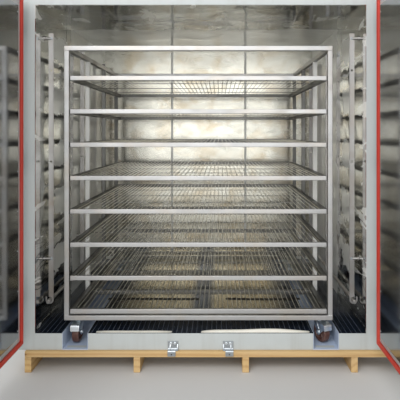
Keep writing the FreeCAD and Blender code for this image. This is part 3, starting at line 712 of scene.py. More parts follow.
def makeBody():
    roofLow, roofHigh = local("roof_panel")
    backLow, backHigh = local("back_wall")
    liningLow, liningHigh = local("left_wall_lining")
    blockHigh = local("floor_centre_block")[1]
    channelOut, channelIn = local("wheel_channels")[1].x, blockHigh.x
    floorUnder = local("floor_lining")[0].z
    outer, top, back = roofHigh.x, roofHigh.z, backHigh.y
    bottom, sill, ceiling = local("left_wall")[0].z, liningLow.z, liningHigh.z
    edge, deep, joint = bodyForm["edge"], bodyForm["frameDepth"], bodyForm["joint"]
    bound = joint - liningHigh.x
    blockBack = back - bodyForm["blockBack"]
    sides = spread(deep, back, bodyForm["panels"] + 1)

    def screws(piece, start, end, place, direction):
        # Rows at the foot and head of a panel that runs from start to end.
        inset, up = bodyForm["screwIn"], bodyForm["screwUp"]
        for height in (bottom + up, roofLow.z - up):
            for along in spread(start + inset, end - inset, bodyForm["screws"]):
                piece.screw(place(along, height), direction, bodyForm["screw"], 1)

    front = Piece("front_frame", "oven", "body_paint", bodyPaint, zinc)
    half = [(channelOut, bottom), (channelOut, floorUnder), (bound, floorUnder), (bound, ceiling + joint)]
    rim = [(outer, top), (outer, bottom)]
    outline = mirrored(-1, half) + half[::-1] + rim[::-1] + mirrored(-1, rim)
    front.add(prism(outline, "y", 0, deep, edge, 3))
    front.done("floor_left_block", "floor_right_block")

    walls = Piece("wall_panels", "oven", "body_paint", bodyPaint, zinc)
    for sign in (-1, 1):
        for start, end in zip(sides, sides[1:]):
            walls.add(slab(sided(sign, bound, outer), (start, end), (bottom, roofLow.z), edge))
            screws(walls, start, end, lambda y, z: at(sign * outer, y, z), (sign, 0, 0))
        walls.add(slab(sided(sign, channelOut, bound), (deep, blockBack), (bottom, sill - joint), 0.001, 1))
    walls.done("left_wall", "right_wall")

    rear = Piece("rear_panels", "oven", "body_paint", bodyPaint, zinc)
    seams = spread(backLow.x, backHigh.x, bodyForm["panels"] + 1)
    for start, end in zip(seams, seams[1:]):
        rear.add(slab((start, end), (backLow.y, back), (bottom, roofLow.z), edge))
        screws(rear, start, end, lambda x, z: at(x, back, z), (0, 1, 0))
    rear.done("back_wall")

    roof = Piece("roof_panels", "oven", "body_paint", bodyPaint, zinc)
    for start, end in zip(sides, sides[1:]):
        roof.add(slab((-outer, outer), (start, end), (roofLow.z, top), edge))
    roof.done("roof_panel")

    middle = Piece("sill_block", "oven", "body_paint", bodyPaint)
    middle.add(slab((-channelIn, channelIn), (0, blockBack), (bottom, blockHigh.z + 0.0005), edge, 3))
    middle.done("floor_centre_block")
    makeSealant(sill - 0.001)


# Each bead has its start, end, height and the phase of its swells.
sealantForm = {
    "beads": ((-0.64, -0.17, 0.009, 0.3), (0.0, 0.665, 0.021, 1.7)), "y": 0.016, "half": 0.014, "steps": 40,
}


# The floor sheet's edge is bedded in pale sealant that bulges unevenly along the sill.
def makeSealant(base):
    bead = Piece("sill_sealant", "oven", "bright_lining", sealant)
    y = sealantForm["y"]
    for start, end, high, phase in sealantForm["beads"]:
        strip = sweep(circle(1, 10), [at(x, y, base) for x in spread(start, end, sealantForm["steps"] + 1)])
        for vert in strip.verts:
            x = inOven(vert.co).x
            along = (x - start) / (end - start)
            swell = max(0.02, math.sin(math.pi * min(max(along, 0), 1)) ** 0.45)
            rise = high * swell * (0.86 + 0.14 * math.sin(along * 9 + phase))
            off = vert.co - at(x, y, base)
            vert.co = at(x, y + off.y * sealantForm["half"], base + max(off.z, -0.1) * rise)
        bead.add(strip)
    bead.done()


channelForm = {
    "sheet": 0.003, "base": 0.006, "proud": 0.0006, "front": 0.0008, "stripIn": 0.02, "strip": (0.02, 0.05),
}


def makeChannels():
    low, high = local("wheel_channels")
    inner = local("floor_centre_block")[1].x
    sheet, proud, stripIn = channelForm["sheet"], channelForm["proud"], channelForm["stripIn"]
    base, top = low.z + channelForm["base"], high.z + proud
    outline = [(inner, low.z), (high.x, low.z), (high.x, top), (high.x - sheet, top)]
    outline += [(high.x - sheet, base), (inner + sheet, base), (inner + sheet, top), (inner, top)]
    piece = Piece("channel_troughs", "oven", "channel_paint", channelPaint, bodyPaint)
    for sign in (-1, 1):
        piece.add(prism(mirrored(sign, outline), "y", channelForm["front"], high.y, 0.0007))
        strip = sided(sign, inner + stripIn, high.x - stripIn)
        piece.add(slab(strip, channelForm["strip"], (base, base + proud), 0.0003, 1), 1)
    piece.done("wheel_channels")


liningForm = {
    "seamWidth": 0.022, "seamProud": 0.0011, "seams": (0.62, 1.24), "backSeams": (-0.35, 0.35),
    "seamEnd": 0.004, "skirt": (0.001, 0.028), "backSkirt": (0.001, 0.03), "seamRound": 0.0005,
    "joints": ((-0.70, -0.03), (0.16, 0.70)), "reflectionY": 0.617, "reflectionWide": 0.040, "reflectionHigh": 0.0015,
}


def makeLining():
    for name in ("left_wall_lining", "right_wall_lining", "ceiling_lining"):
        dress(name, lining)
    dress("back_wall_lining", backLining)
    dress("floor_lining", floorSheet)
    low, high = local("left_wall_lining")
    inner, back = -high.x, local("back_wall_lining")[0].y
    proud, wide, curve = liningForm["seamProud"], liningForm["seamWidth"], liningForm["seamRound"]
    tall = (low.z + liningForm["seamEnd"], high.z - liningForm["seamEnd"])
    skirt, backSkirt = ([low.z + up for up in liningForm[name]] for name in ("skirt", "backSkirt"))
    seams = Piece("lining_seams", "oven", "bright_lining", lining)
    for sign in (-1, 1):
        face = sided(sign, inner, inner - proud)
        for y in liningForm["seams"]:
            seams.add(slab(face, (y, y + wide), tall, curve, 1))
        seams.add(slab(face, (0.002, back), skirt, curve, 1))
    for x in liningForm["backSeams"]:
        seams.add(slab((x, x + wide), (back - proud, back), tall, curve, 1))
    seams.add(slab((-inner, inner), (back - proud * 2, back), backSkirt, curve, 1))
    seams.done()

    # Painted reflection: a dark strip wanders across the floor sheet between the wheel channels, where the
    # rear shelf rail is mirrored in the floor.
    joint = Piece("floor_rail_reflection", "oven", "bright_lining", railReflectionDark)
    half, y = liningForm["reflectionWide"] / 2, liningForm["reflectionY"]
    top = local("floor_lining")[1].z
    for stretch in liningForm["joints"]:
        strip = slab(stretch, (y - half, y + half), (top, top + liningForm["reflectionHigh"]), 0.0, 1, 60)
        for vert in strip.verts:
            x = inOven(vert.co).x
            broad, fine = Vector((x * 3, 0.4, 0)), Vector((x * 17, 1, 0))
            vert.co.y += 0.010 * noise.noise(broad) + 0.004 * noise.noise(fine)
        joint.add(strip)
    joint.done()


guideForm = {
    "wide": 0.032, "thick": 0.004, "rise": 0.046, "hook": 0.052, "hookThick": 0.0095, "rail": 0.012,
    "fromWall": 0.042, "hole": 0.0075, "holeHeights": (0.648, 1.26, 1.84), "round": 0.0006, "lowStay": 0.41,
}


def holedPlate(x, y, z, half, radius, thick):
    # A square piece of strap with a round hole through it along y.
    part = bmesh.new()
    rings = []
    for place in (y, y + thick):
        hole, rim = [], []
        for c, s in circle(1, 24):
            reach = half / max(abs(c), abs(s))
            hole.append(part.verts.new(at(x + radius * c, place, z + radius * s)))
            rim.append(part.verts.new(at(x + reach * c, place, z + reach * s)))
        rings.append((hole, rim))
        bridge(part, hole, rim)
    for first, second in zip(*rings):
        bridge(part, first, second)
    return part


def makeGuides():
    wide, thick, hook, rail = (guideForm[name] for name in ("wide", "thick", "hook", "rail"))
    curve, hookThick = guideForm["round"], guideForm["hookThick"]
    wall, floor = local("right_wall_lining")[0].x, local("floor_lining")[1].z
    near = wall - guideForm["fromWall"] - wide / 2
    reach = wall - near - wide / 2
    stay = [(0.009, 0), (0.009, reach - 0.006), (0.016, reach - 0.005), (0.016, reach - 0.0005)]
    radius = hook / 2
    for side, sign in (("right", 1), ("left", -1)):
        low, high = local(side + "_trolley_guide")
        lip, long, strapX = low.z + guideForm["rise"], high.y - low.y, sign * (near + wide / 2)
        curl = (near + radius, low.z + radius)
        outline = arc(curl, radius, 180, 360, 14) + [(near + hook, lip), (near + hook - 0.009, lip)]
        outline += arc(curl, radius - hookThick, 360, 180, 14)[:-1] + [(near + hookThick, lip), (near, lip)]
        piece = Piece(side + "_guide_bars", "oven", "guide_steel", guideSteel, zinc)
        for y in (low.y + wide, (low.y + high.y) / 2, high.y - wide):
            piece.add(prism(mirrored(sign, outline), "y", y, y + thick, curve, 1))
            stops = [lip - 0.002]
            for height in guideForm["holeHeights"]:
                stops += [height - wide / 2, height + wide / 2]
                piece.add(holedPlate(strapX, y, height, wide / 2, guideForm["hole"], thick))
            stops.append(high.z)
            for stretch in zip(stops[::2], stops[1::2]):
                piece.add(slab(sided(sign, near, near + wide), (y, y + thick), stretch, curve, 1))
            for height in (floor + guideForm["lowStay"], high.z - wide):
                piece.add(lathe(stay, at(strapX, y + thick / 2, height), (sign, 0, 0), 18))
                piece.bolt(at(strapX, y, height), (0, -1, 0), 0.007, 1)
        railPlace = at(sign * (near + radius), low.y, low.z + 0.009 + rail)
        piece.add(lathe(bar(rail, long, rail * 0.2), railPlace, (0, 1, 0), 24))
        piece.done(side + "_trolley_guide")


keeperForm = {"wide": 0.062, "lug": 0.048, "sheet": 0.006, "bend": 0.009, "round": 0.0008, "bolt": 0.0055}


def makeKeepers():
    low, high = local("door_keepers")
    deck = local("pallet_deck_boards")[1].z
    lip, top = -low.y, deck + keeperForm["sheet"]
    sheet, bend, wide, curve = (keeperForm[name] for name in ("sheet", "bend", "wide", "round"))
    offset = high.x - wide / 2
    foot = bend - lip
    plate = [(-sheet, high.z), (-sheet, top + bend)] + arc((-sheet - bend, top + bend), bend, 0, -90, 5)
    plate += [(foot, top), (foot, deck), (-0.002, deck), (0, deck + 0.002), (0, high.z)]
    lug = [(foot + 0.003, top)] + arc((foot, top - bend), bend, 90, 180, 5)
    lug += [(-lip, low.z), (sheet - lip, low.z), (sheet - lip, deck - 0.001), (sheet - lip + 0.002, deck)]
    lug += [(foot + 0.003, deck)]
    ear = [(0.008 - lip, top - 0.001), (0.001 - sheet, top - 0.001), (0.001 - sheet, deck + 0.040)]
    ear += [(0.014 - lip, deck + 0.028), (0.008 - lip, deck + 0.018)]
    holeShadeDisc = [(0, 0), (0.0045, 0), (0.0045, 0.0006), (0, 0.0006)]
    parts = [(plate, offset - wide / 2, offset + wide / 2)]
    parts += [(lug, offset + wide / 2, offset + wide / 2 - keeperForm["lug"])]
    parts += [(ear, x, x + sheet) for x in (offset - wide / 2, offset + wide / 2 - sheet - 0.012)]
    piece = Piece("keeper_plates", "oven", "zinc", zinc, casterZinc, blackPlastic)
    for sign in (-1, 1):
        for outline, first, second in parts:
            piece.add(prism(outline, "x", *sided(sign, first, second), curve))
        for x in (offset - 0.012, offset + 0.012):
            piece.bolt(at(sign * x, -sheet, high.z - 0.012), (0, -1, 0), keeperForm["bolt"], 1)
        # A thin black disc on each lug paints the shade of a hole.
        piece.add(lathe(holeShadeDisc, at(sign * (offset + 0.007), -lip, low.z + 0.012), (0, -1, 0), 16), 2)
    piece.done("door_keepers")


hingeForm = {
    "long": 0.060, "knuckle": 0.015, "chamfer": 0.0015, "pin": 0.008, "bore": 0.0082, "sheet": 0.008,
    "leafEnd": 0.080, "leafBolts": (0.018, 0.058), "leafBolt": 0.0055, "boltEnd": 0.016,
    "strapBolts": (0.02, 0.07, 0.12), "strapBolt": 0.007, "round": 0.0012,
}


def makeHinges():
    outer = local("roof_panel")[1].x
    long, knuckle, pin, bore, sheet, curve = (
        hingeForm[name] for name in ("long", "knuckle", "pin", "bore", "sheet", "round")
    )
    body = bar(knuckle, long, hingeForm["chamfer"])
    mount = body[:-1] + [(pin, long), (pin, 2 * long - 0.002), (0, 2 * long)]
    barrel = [(bore, 0), *body[1:-1], (bore, long)]
    for side, sign in (("right", 1), ("left", -1)):
        low, high = local(side + "_hinge_mounts")
        armLow, armHigh = local(side + "_door_hinge_arms")
        far = max(abs(armLow.x), abs(armHigh.x))
        pinY = low.y + knuckle
        mounts = Piece(side + "_hinge_leaves", "oven", "zinc", zinc, casterZinc)
        arms = Piece(side + "_door_arms", side + "_door", "zinc", zinc, casterZinc)
        for z in spread(low.z, high.z - 2 * long, 3):
            mounts.add(lathe(mount, at(sign * outer, pinY, z)))
            leaf = sided(sign, outer, outer + sheet)
            mounts.add(slab(leaf, (pinY, hingeForm["leafEnd"]), (z, z + long), curve))
            for y in hingeForm["leafBolts"]:
                for up in (hingeForm["boltEnd"], long - hingeForm["boltEnd"]):
                    place = at(sign * (outer + sheet), y, z + up)
                    mounts.bolt(place, (sign, 0, 0), hingeForm["leafBolt"], 1)
            start = z + long + 0.001
            arms.add(lathe(barrel, at(sign * outer, pinY, start), loop=True))
            up = (start + 0.005, start + long - 0.005)
            arms.add(slab(sided(sign, outer, far), (pinY - 0.008, pinY + 0.004), up, curve))
            arms.add(slab(sided(sign, far - sheet, far), (armLow.y, pinY + 0.004), up, curve))
            for y in hingeForm["strapBolts"]:
                place = at(sign * far, armLow.y + y, sum(up) / 2)
                arms.bolt(place, (sign, 0, 0), hingeForm["strapBolt"], 1)
        mounts.done(side + "_hinge_mounts")
        arms.done(side + "_door_hinge_arms")


doorForm = {
    "edge": 0.004, "fields": 3, "fieldProud": 0.0012, "fieldY": (0.22, 0.06), "fieldEnd": 0.12,
    "fieldGap": 0.03, "linerRound": 0.012, "sealWide": 0.027,
    "screws": 9, "screw": 0.0045, "screwIn": 0.02, "screwUp": 0.05,
}


def makeDoors():
    for side, sign in (("right", 1), ("left", -1)):
        body = side + "_door"
        low, high = local(body + "_panel")
        outer = max(low.x, high.x, key=abs)
        face = sorted((outer, outer + sign * doorForm["fieldProud"]))
        fieldY = (low.y + doorForm["fieldY"][0], high.y - doorForm["fieldY"][1])
        fieldEnd, gap = doorForm["fieldEnd"], doorForm["fieldGap"]
        stops = spread(low.z + fieldEnd, high.z - fieldEnd, doorForm["fields"] + 1)
        panel = Piece(side + "_door_shell", body, "body_paint", doorPaint, zinc)
        panel.add(fill(low, high, doorForm["edge"], 3))
        for first, second in zip(stops, stops[1:]):
            panel.add(slab(face, fieldY, (first + gap, second - gap), 0.001, 1))
        panel.done(body + "_panel")

        low, high = local(body + "_lining")
        faceX = low.x if sign > 0 else high.x
        liner = Piece(side + "_door_liner", body, "bright_lining", doorLining, zinc)
        liner.add(fill(low, high, doorForm["linerRound"], 4))
        screwIn, screwUp = doorForm["screwIn"], doorForm["screwUp"]
        for y in (low.y + screwIn, high.y - screwIn):
            for z in spread(low.z + screwUp, high.z - screwUp, doorForm["screws"]):
                liner.screw(at(faceX, y, z), (-sign, 0, 0), doorForm["screw"], 1)
        liner.done(body + "_lining")
        makeSeal(side, sign)
        makeLock(side, sign)


def makeSeal(side, sign):
    # Two lobes on a flat strip, with a darker strip in the groove between them that paints its shade.
    low, high = local(side + "_door_gasket")
    backX = high.x if sign > 0 else low.x
    proud, inset = high.x - low.x, doorForm["sealWide"] / 2
    y = (low.y + inset, high.y - inset)
    z = (low.z + inset, high.z - inset)
    path = [at(backX, y[a], z[b]) for a, b in ((0, 0), (1, 0), (1, 1), (0, 1))]
    lobe = proud * 0.5
    section = [(-inset, 0), (inset, 0), (inset, proud * 0.35)]
    section += arc((inset - lobe, proud - lobe), lobe, 0, 180, 7)
    section += [(0.0012, proud * 0.42), (-0.0012, proud * 0.42)]
    section += arc((-inset + lobe, proud - lobe), lobe, 0, 180, 7) + [(-inset, proud * 0.35)]
    groove = [(a * 0.0022, proud * b) for a, b in ((-1, 0.40), (1, 0.40), (1, 0.46), (-1, 0.46))]
    gasket = Piece(side + "_door_seal", side + "_door", "silicone", silicone, siliconeGrooveShade)
    gasket.add(sweep(section, path, (-sign, 0, 0), True))
    gasket.add(sweep(groove, path, (-sign, 0, 0), True), 1)
    gasket.done(side + "_door_gasket", sharp=50)


lockForm = {
    "radius": 0.010, "camHeight": 0.024, "boss": 0.0165, "bossHigh": 0.032,
    "saddles": 4, "saddleHigh": 0.040, "saddleBase": 0.004, "saddleScrew": 0.0028,
    "leverRise": 0.910, "leverThick": 0.014,
    "grip": 0.12, "gripRings": 9, "gripPitch": 0.011, "gripTall": 2.05,
}


def makeLock(side, sign):
    body = side + "_door"
    low, high = local(body + "_lock_rod")
    doorLow, doorHigh = local(body + "_panel")
    face = max(abs(doorLow.x), abs(doorHigh.x))
    near, far = sorted((abs(low.x), abs(high.x)))
    radius, camHeight, thick = lockForm["radius"], lockForm["camHeight"], lockForm["leverThick"]
    x, y = face + 0.012 + radius, low.y + 0.025
    lock = Piece(side + "_door_lock", body, "zinc", casterZinc, blackPlastic, zinc)
    lock.add(lathe(bar(radius, high.z - low.z, 0.001), at(sign * x, y, low.z), sides=28))

    cam = [(near, y - 0.012), (near + 0.012, y - 0.025), (x, y - 0.025), (x + 0.008, y - 0.014)]
    cam += [(x + 0.010, y + 0.004), (x + 0.002, y + 0.025), (near + 0.02, y + 0.025), (near, y + 0.010)]
    for z in (low.z, high.z - camHeight):
        lock.add(prism(mirrored(sign, cam), "z", z, z + camHeight, 0.002), 2)

    saddle = [(face, y - 0.02), (face + 0.003, y - 0.02), (x, y - 0.016), (x + 0.012, y - 0.011)]
    saddle += [(x + 0.016, y), (x + 0.012, y + 0.011), (x, y + 0.016)]
    saddle += [(face + 0.003, y + 0.02), (face, y + 0.02)]
    base = face + lockForm["saddleBase"]
    tall = lockForm["saddleHigh"]
    for z in spread(doorLow.z + 0.04, doorHigh.z - 0.08, lockForm["saddles"]):
        lock.add(prism(mirrored(sign, saddle), "z", z + 0.006, z + tall - 0.006, 0.002), 2)
        lock.add(slab(sided(sign, face, base), (y - 0.0199, y + 0.0199), (z, z + tall), 0.001, 1), 2)
        for up in (0.0045, tall - 0.0045):
            lock.screw(at(sign * base, y, z + up), (sign, 0, 0), lockForm["saddleScrew"])

    # The lever lies along the door, with a ribbed sleeve on its free end.
    z = span("floor_lining")[1].z + lockForm["leverRise"]
    end = high.y
    lever = [(y - 0.014, z), (end - 0.05, z), (end - 0.012, z + 0.004), (end, z + 0.014)]
    lever += [(end - 0.012, z + 0.024), (end - 0.05, z + 0.028), (y - 0.014, z + 0.028)]
    lock.add(prism(lever, "x", *sided(sign, far - thick, far), 0.003, 3), 2)
    grip = [(0.004, 0.0), (0.0068, 0.002)]
    for step in range(lockForm["gripRings"]):
        place = step * lockForm["gripPitch"]
        grip += [(0.0069, 0.006 + place), (0.0063, 0.011 + place)]
    grip += [(0.0068, 0.106), (0.004, 0.112)]
    centre = at(sign * (far - thick / 2), end - lockForm["grip"], z + 0.014)
    sleeve = lathe(grip, centre, (0, 1, 0), 20)
    for vert in sleeve.verts:
        vert.co.z = centre.z + (vert.co.z - centre.z) * lockForm["gripTall"]
    lock.add(sleeve, 1)
    boss = bar(lockForm["boss"], lockForm["bossHigh"], 0.001)
    lock.add(lathe(boss, at(sign * x, y, z - 0.002), sides=24), 2)
    lock.done(body + "_lock_rod")


trolleyForm = {
    "tube": 0.030, "round": 0.0032, "rows": 4, "lap": 0.003, "casterIn": 0.020,
    "levels": 8, "angle": 0.030, "angleThick": 0.003, "angleBend": 0.004,
}


def makeTrolleyFrame():
    low, high = local("trolley_base_frame")
    topLow, topHigh = local("trolley_top_frame")
    tube, curve, lap = trolleyForm["tube"], trolleyForm["round"], trolleyForm["lap"]
    middle = (low.x + high.x) / 2
    longX = middle - (local("front_left_wheel")[0].x + trolleyForm["casterIn"])
    rows = spread(low.y, high.y - tube, trolleyForm["rows"])
    sides = (low.x, high.x - tube)

    base = Piece("trolley_base_tubes", "trolley", "trolley_steel", tubeSteel, steelPaintedShade)
    for index, y in enumerate(rows):
        # Rows behind the first take the dark steel of their painted shade.
        base.add(slab((low.x, high.x), (y, y + tube), (low.z, high.z), curve, 3), min(index, 1))
    for sign in (-1, 1):
        x = middle + sign * longX - tube / 2
        for first, second in zip(rows, rows[1:]):
            base.add(slab((x, x + tube), (first + tube - lap, second + lap), (low.z, high.z), curve, 3))
            for y in (first + tube + 0.001, second - 0.001):
                base.weld(at(x, y, high.z - lap), at(x, y, low.z + lap), (0, 1, 0))
                base.weld(at(x + 0.002, y, high.z), at(x + tube - 0.002, y, high.z))
    base.done("trolley_base_frame")

    posts = Piece("trolley_post_tubes", "trolley", "trolley_steel", tubeSteel, postPaintedHighlight, steelPaintedShade)
    for x in sides:
        inner = x + tube if x < middle else x
        for index, y in enumerate(rows):
            tall = (high.z - 0.002, topLow.z + 0.002)
            # The second row of posts takes the pale paint of its painted highlight, the rows behind it the
            # dark steel of their painted shade.
            posts.add(slab((x, x + tube), (y, y + tube), tall, curve, 3), min(index, 2))
            for z in (high.z, topLow.z):
                posts.weld(at(x + 0.002, y, z), at(x + tube - 0.002, y, z))
                posts.weld(at(inner, y + 0.003, z), at(inner, y + tube - 0.003, z))
    posts.done("trolley_posts")

    top = Piece("trolley_top_tubes", "trolley", "trolley_steel", tubeSteel)
    up = (topLow.z, topHigh.z)
    for y in (rows[0], rows[-1]):
        top.add(slab((low.x, high.x), (y, y + tube), up, curve, 3))
    for x in sides:
        top.add(slab((x, x + tube), (rows[0] + tube - lap, rows[-1] + lap), up, curve, 3))
        seamY = rows[0] + tube + 0.001
        top.weld(at(x + 0.002, seamY, topHigh.z), at(x + tube - 0.002, seamY, topHigh.z))
    top.done("trolley_top_frame")

    runnerLow, runnerHigh = local("trolley_side_runners")
    size, thin, bend = trolleyForm["angle"], trolleyForm["angleThick"], trolleyForm["angleBend"]
    # Every runner takes the dark steel of its painted shade.
    runners = Piece("trolley_runner_angles", "trolley", "trolley_steel", steelPaintedShade)
    for z in spread(runnerLow.z, runnerHigh.z - size, trolleyForm["levels"]):
        for sign in (-1, 1):
            edge = runnerHigh.x if sign > 0 else -runnerLow.x
            corner = (edge - bend, z + bend)
            section = [(edge - size, z), (edge - bend, z)] + arc(corner, bend, -90, 0, 4)[1:]
            section += [(edge, z + size), (edge - thin, z + size), (edge - thin, z + bend)]
            section += arc(corner, bend - thin, 0, -90, 3)[1:] + [(edge - size, z + thin)]
            runners.add(prism(mirrored(sign, section), "y", low.y + 0.0005, high.y - 0.0005, 0.0004, 1))
            x = sign * (edge - 0.0005)
            for y in rows:
                runners.weld(at(x, y + 0.004, z + size), at(x, y + tube - 0.004, z + size))
    runners.done("trolley_side_runners")


shelfForm = {
    "levels": 4, "bar": 0.025, "barHigh": 0.028, "round": 0.0028,
    "wire": 0.0025, "pitch": 0.0303, "wires": 51, "wireDown": 0.0055, "steps": 9,
    "lean": 0.0006, "stray": 0.0008, "sag": 0.0022,
    "crossRods": 3, "crossRod": 0.0024, "crossDown": 0.0125,
}


def makeShelves():
    rim, rise, curve = shelfForm["bar"], shelfForm["barHigh"], shelfForm["round"]
    wires, stray = shelfForm["wires"], shelfForm["stray"]
    for name in ("lower", "upper"):
        low, high = local("trolley_%s_shelves" % name)
        middle = (low.x + high.x) / 2
        start, end = low.y + rim * 0.6, high.y - rim * 0.6
        piece = Piece(name + "_wire_shelves", "trolley", "trolley_steel", tubeSteel, wireSteel, steelPaintedShade)
        for z in spread(low.z, high.z - rise, shelfForm["levels"]):
            up = (z, z + rise)
            lean = dice.uniform(-shelfForm["lean"], shelfForm["lean"])
            piece.add(slab((low.x, high.x), (low.y, low.y + rim), up, curve, 3))
            # The back and side bars, and the cross rods below, take the dark steel of their painted shade.
            piece.add(slab((low.x, high.x), (high.y - rim, high.y), up, curve, 3), 2)
            for x in (low.x, high.x - rim):
                piece.add(slab((x, x + rim), (low.y + rim - 0.002, high.y - rim + 0.002), up, curve, 3), 2)
            for index in range(wires):
                x = middle + (index - (wires - 1) / 2) * shelfForm["pitch"] + dice.uniform(-stray, stray)
                sag = dice.uniform(0.0, shelfForm["sag"])
                path = []
                for along in spread(0, 1, shelfForm["steps"]):
                    dip = sag * (1 - abs(math.cos(math.tau * 2 * along)))
                    height = z + rise - shelfForm["wireDown"] - dip
                    path.append(at(x + lean * along, start + (end - start) * along, height))
                piece.add(sweep(circle(shelfForm["wire"], 8), path), 1)
            for y in spread(low.y, high.y, shelfForm["crossRods"] + 2)[1:-1]:
                height = z + rise - shelfForm["crossDown"]
                ends = [at(x, y, height) for x in (low.x + rim * 0.6, high.x - rim * 0.6)]
                piece.add(sweep(circle(shelfForm["crossRod"], 8), ends), 2)
            for x in (low.x + rim, high.x - rim):
                for y in (low.y + rim, high.y - rim):
                    piece.weld(at(x, y, z + 0.004), at(x, y, z + rise - 0.002), (0, 1, 0))
        piece.done("trolley_%s_shelves" % name)


casterForm = {
    "inside": 0.046, "sheet": 0.004, "foot": 0.024, "head": 0.030,
    "reach": 0.070, "shoulder": 0.059, "lip": 0.026,
    "plate": (0.085, 0.105), "plateThick": 0.004, "plateBolts": (0.033, 0.042), "plateBolt": 0.0052,
    "turned": 22, "spokes": 6, "spoke": 0.0028, "hub": 0.018,
}


def about(x, y, angle):
    # Carries a piece drawn about its own swivel axis to that axis.
    turn = Matrix.Rotation(angle, 4, "Z")
    return Matrix.Translation(at(x, y, 0)) @ turn @ Matrix.Translation(-at(0, 0, 0))


def forkParts(piece, trail, axle, top):
    sheet, foot, head = casterForm["sheet"], casterForm["foot"], casterForm["head"]
    half = casterForm["inside"] / 2
    reach = trail + casterForm["reach"]
    shoulder, lip = axle + casterForm["shoulder"], axle + casterForm["lip"]
    bent = [(-reach + 0.006, shoulder + 0.001), (-reach, shoulder - 0.006), (-reach, lip)]
    leg = [(head, top), (-head, top)] + bent + [(-reach + 0.02, lip - 0.004)]
    leg += arc((-trail, axle - 0.001), foot * 0.75, 200, 360, 12) + [(-trail + foot, axle + foot * 0.6)]
    rib = [(head * 0.5, top - 0.004), (-head * 0.5, top - 0.004)]
    rib += [(-trail - foot * 0.45, axle + foot * 0.8), (-trail + foot * 0.45, axle + foot * 0.8)]
    for sign in (-1, 1):
        piece.add(prism(leg, "x", *sided(sign, half, half + sheet), 0.001))
        piece.add(prism(rib, "x", *sided(sign, half + sheet - 0.001, half + sheet + 0.0012), 0.0012))
        piece.bolt(at(sign * (half + sheet), -trail, axle), (sign, 0, 0), 0.0095)
    hood = [(-head + 0.002, top)] + bent + [(-reach + sheet, lip), (-reach + sheet, shoulder - 0.007)]
    hood += [(-reach + 0.008, shoulder - 0.0035), (-head + 0.002, top - sheet)]
    piece.add(prism(hood, "x", -half - 0.001, half + 0.001, 0.0))
    piece.add(slab((-half - sheet, half + sheet), (-head, head), (top - sheet, top), 0.0012))
    axis = [(0, 0), (0.006, 0), (0.006, 2 * half), (0, 2 * half)]
    piece.add(lathe(axis, at(-half, -trail, axle), (1, 0, 0), 20))


def wheelParts(piece, trail, axle, radius, wide):
    half = wide / 2
    rim = [(0.0062, -half * 0.9), (0.017, -half * 0.9), (0.019, -half * 0.8), (0.021, -half * 0.45)]
    rim += [(radius * 0.66, -half * 0.4), (radius * 0.72, -half * 0.85), (radius * 0.78, -half)]
    rim += [(radius * 0.93, -half), (radius * 0.98, -half * 0.86), (radius, -half * 0.55)]
    profile = rim + [(radius, -half * 0.2), (radius, half * 0.2)]
    profile += [(out, -along) for out, along in rim[::-1]]
    piece.add(lathe(profile, at(0, -trail, axle), (1, 0, 0), 56, loop=True))
    cap = [(0.0064, 0), (0.0125, 0), (0.0125, 0.0016), (0.0064, 0.0022)]
    for sign in (-1, 1):
        piece.add(lathe(cap, at(sign * half * 0.9, -trail, axle), (sign, 0, 0), 24, loop=True), 1)
        for y, z in circle(1, casterForm["spokes"]):
            ends = (casterForm["hub"], radius * 0.70)
            path = [at(sign * half * 0.42, -trail + y * out, axle + z * out) for out in ends]
            piece.add(sweep(circle(casterForm["spoke"], 6), path, (1, 0, 0)))


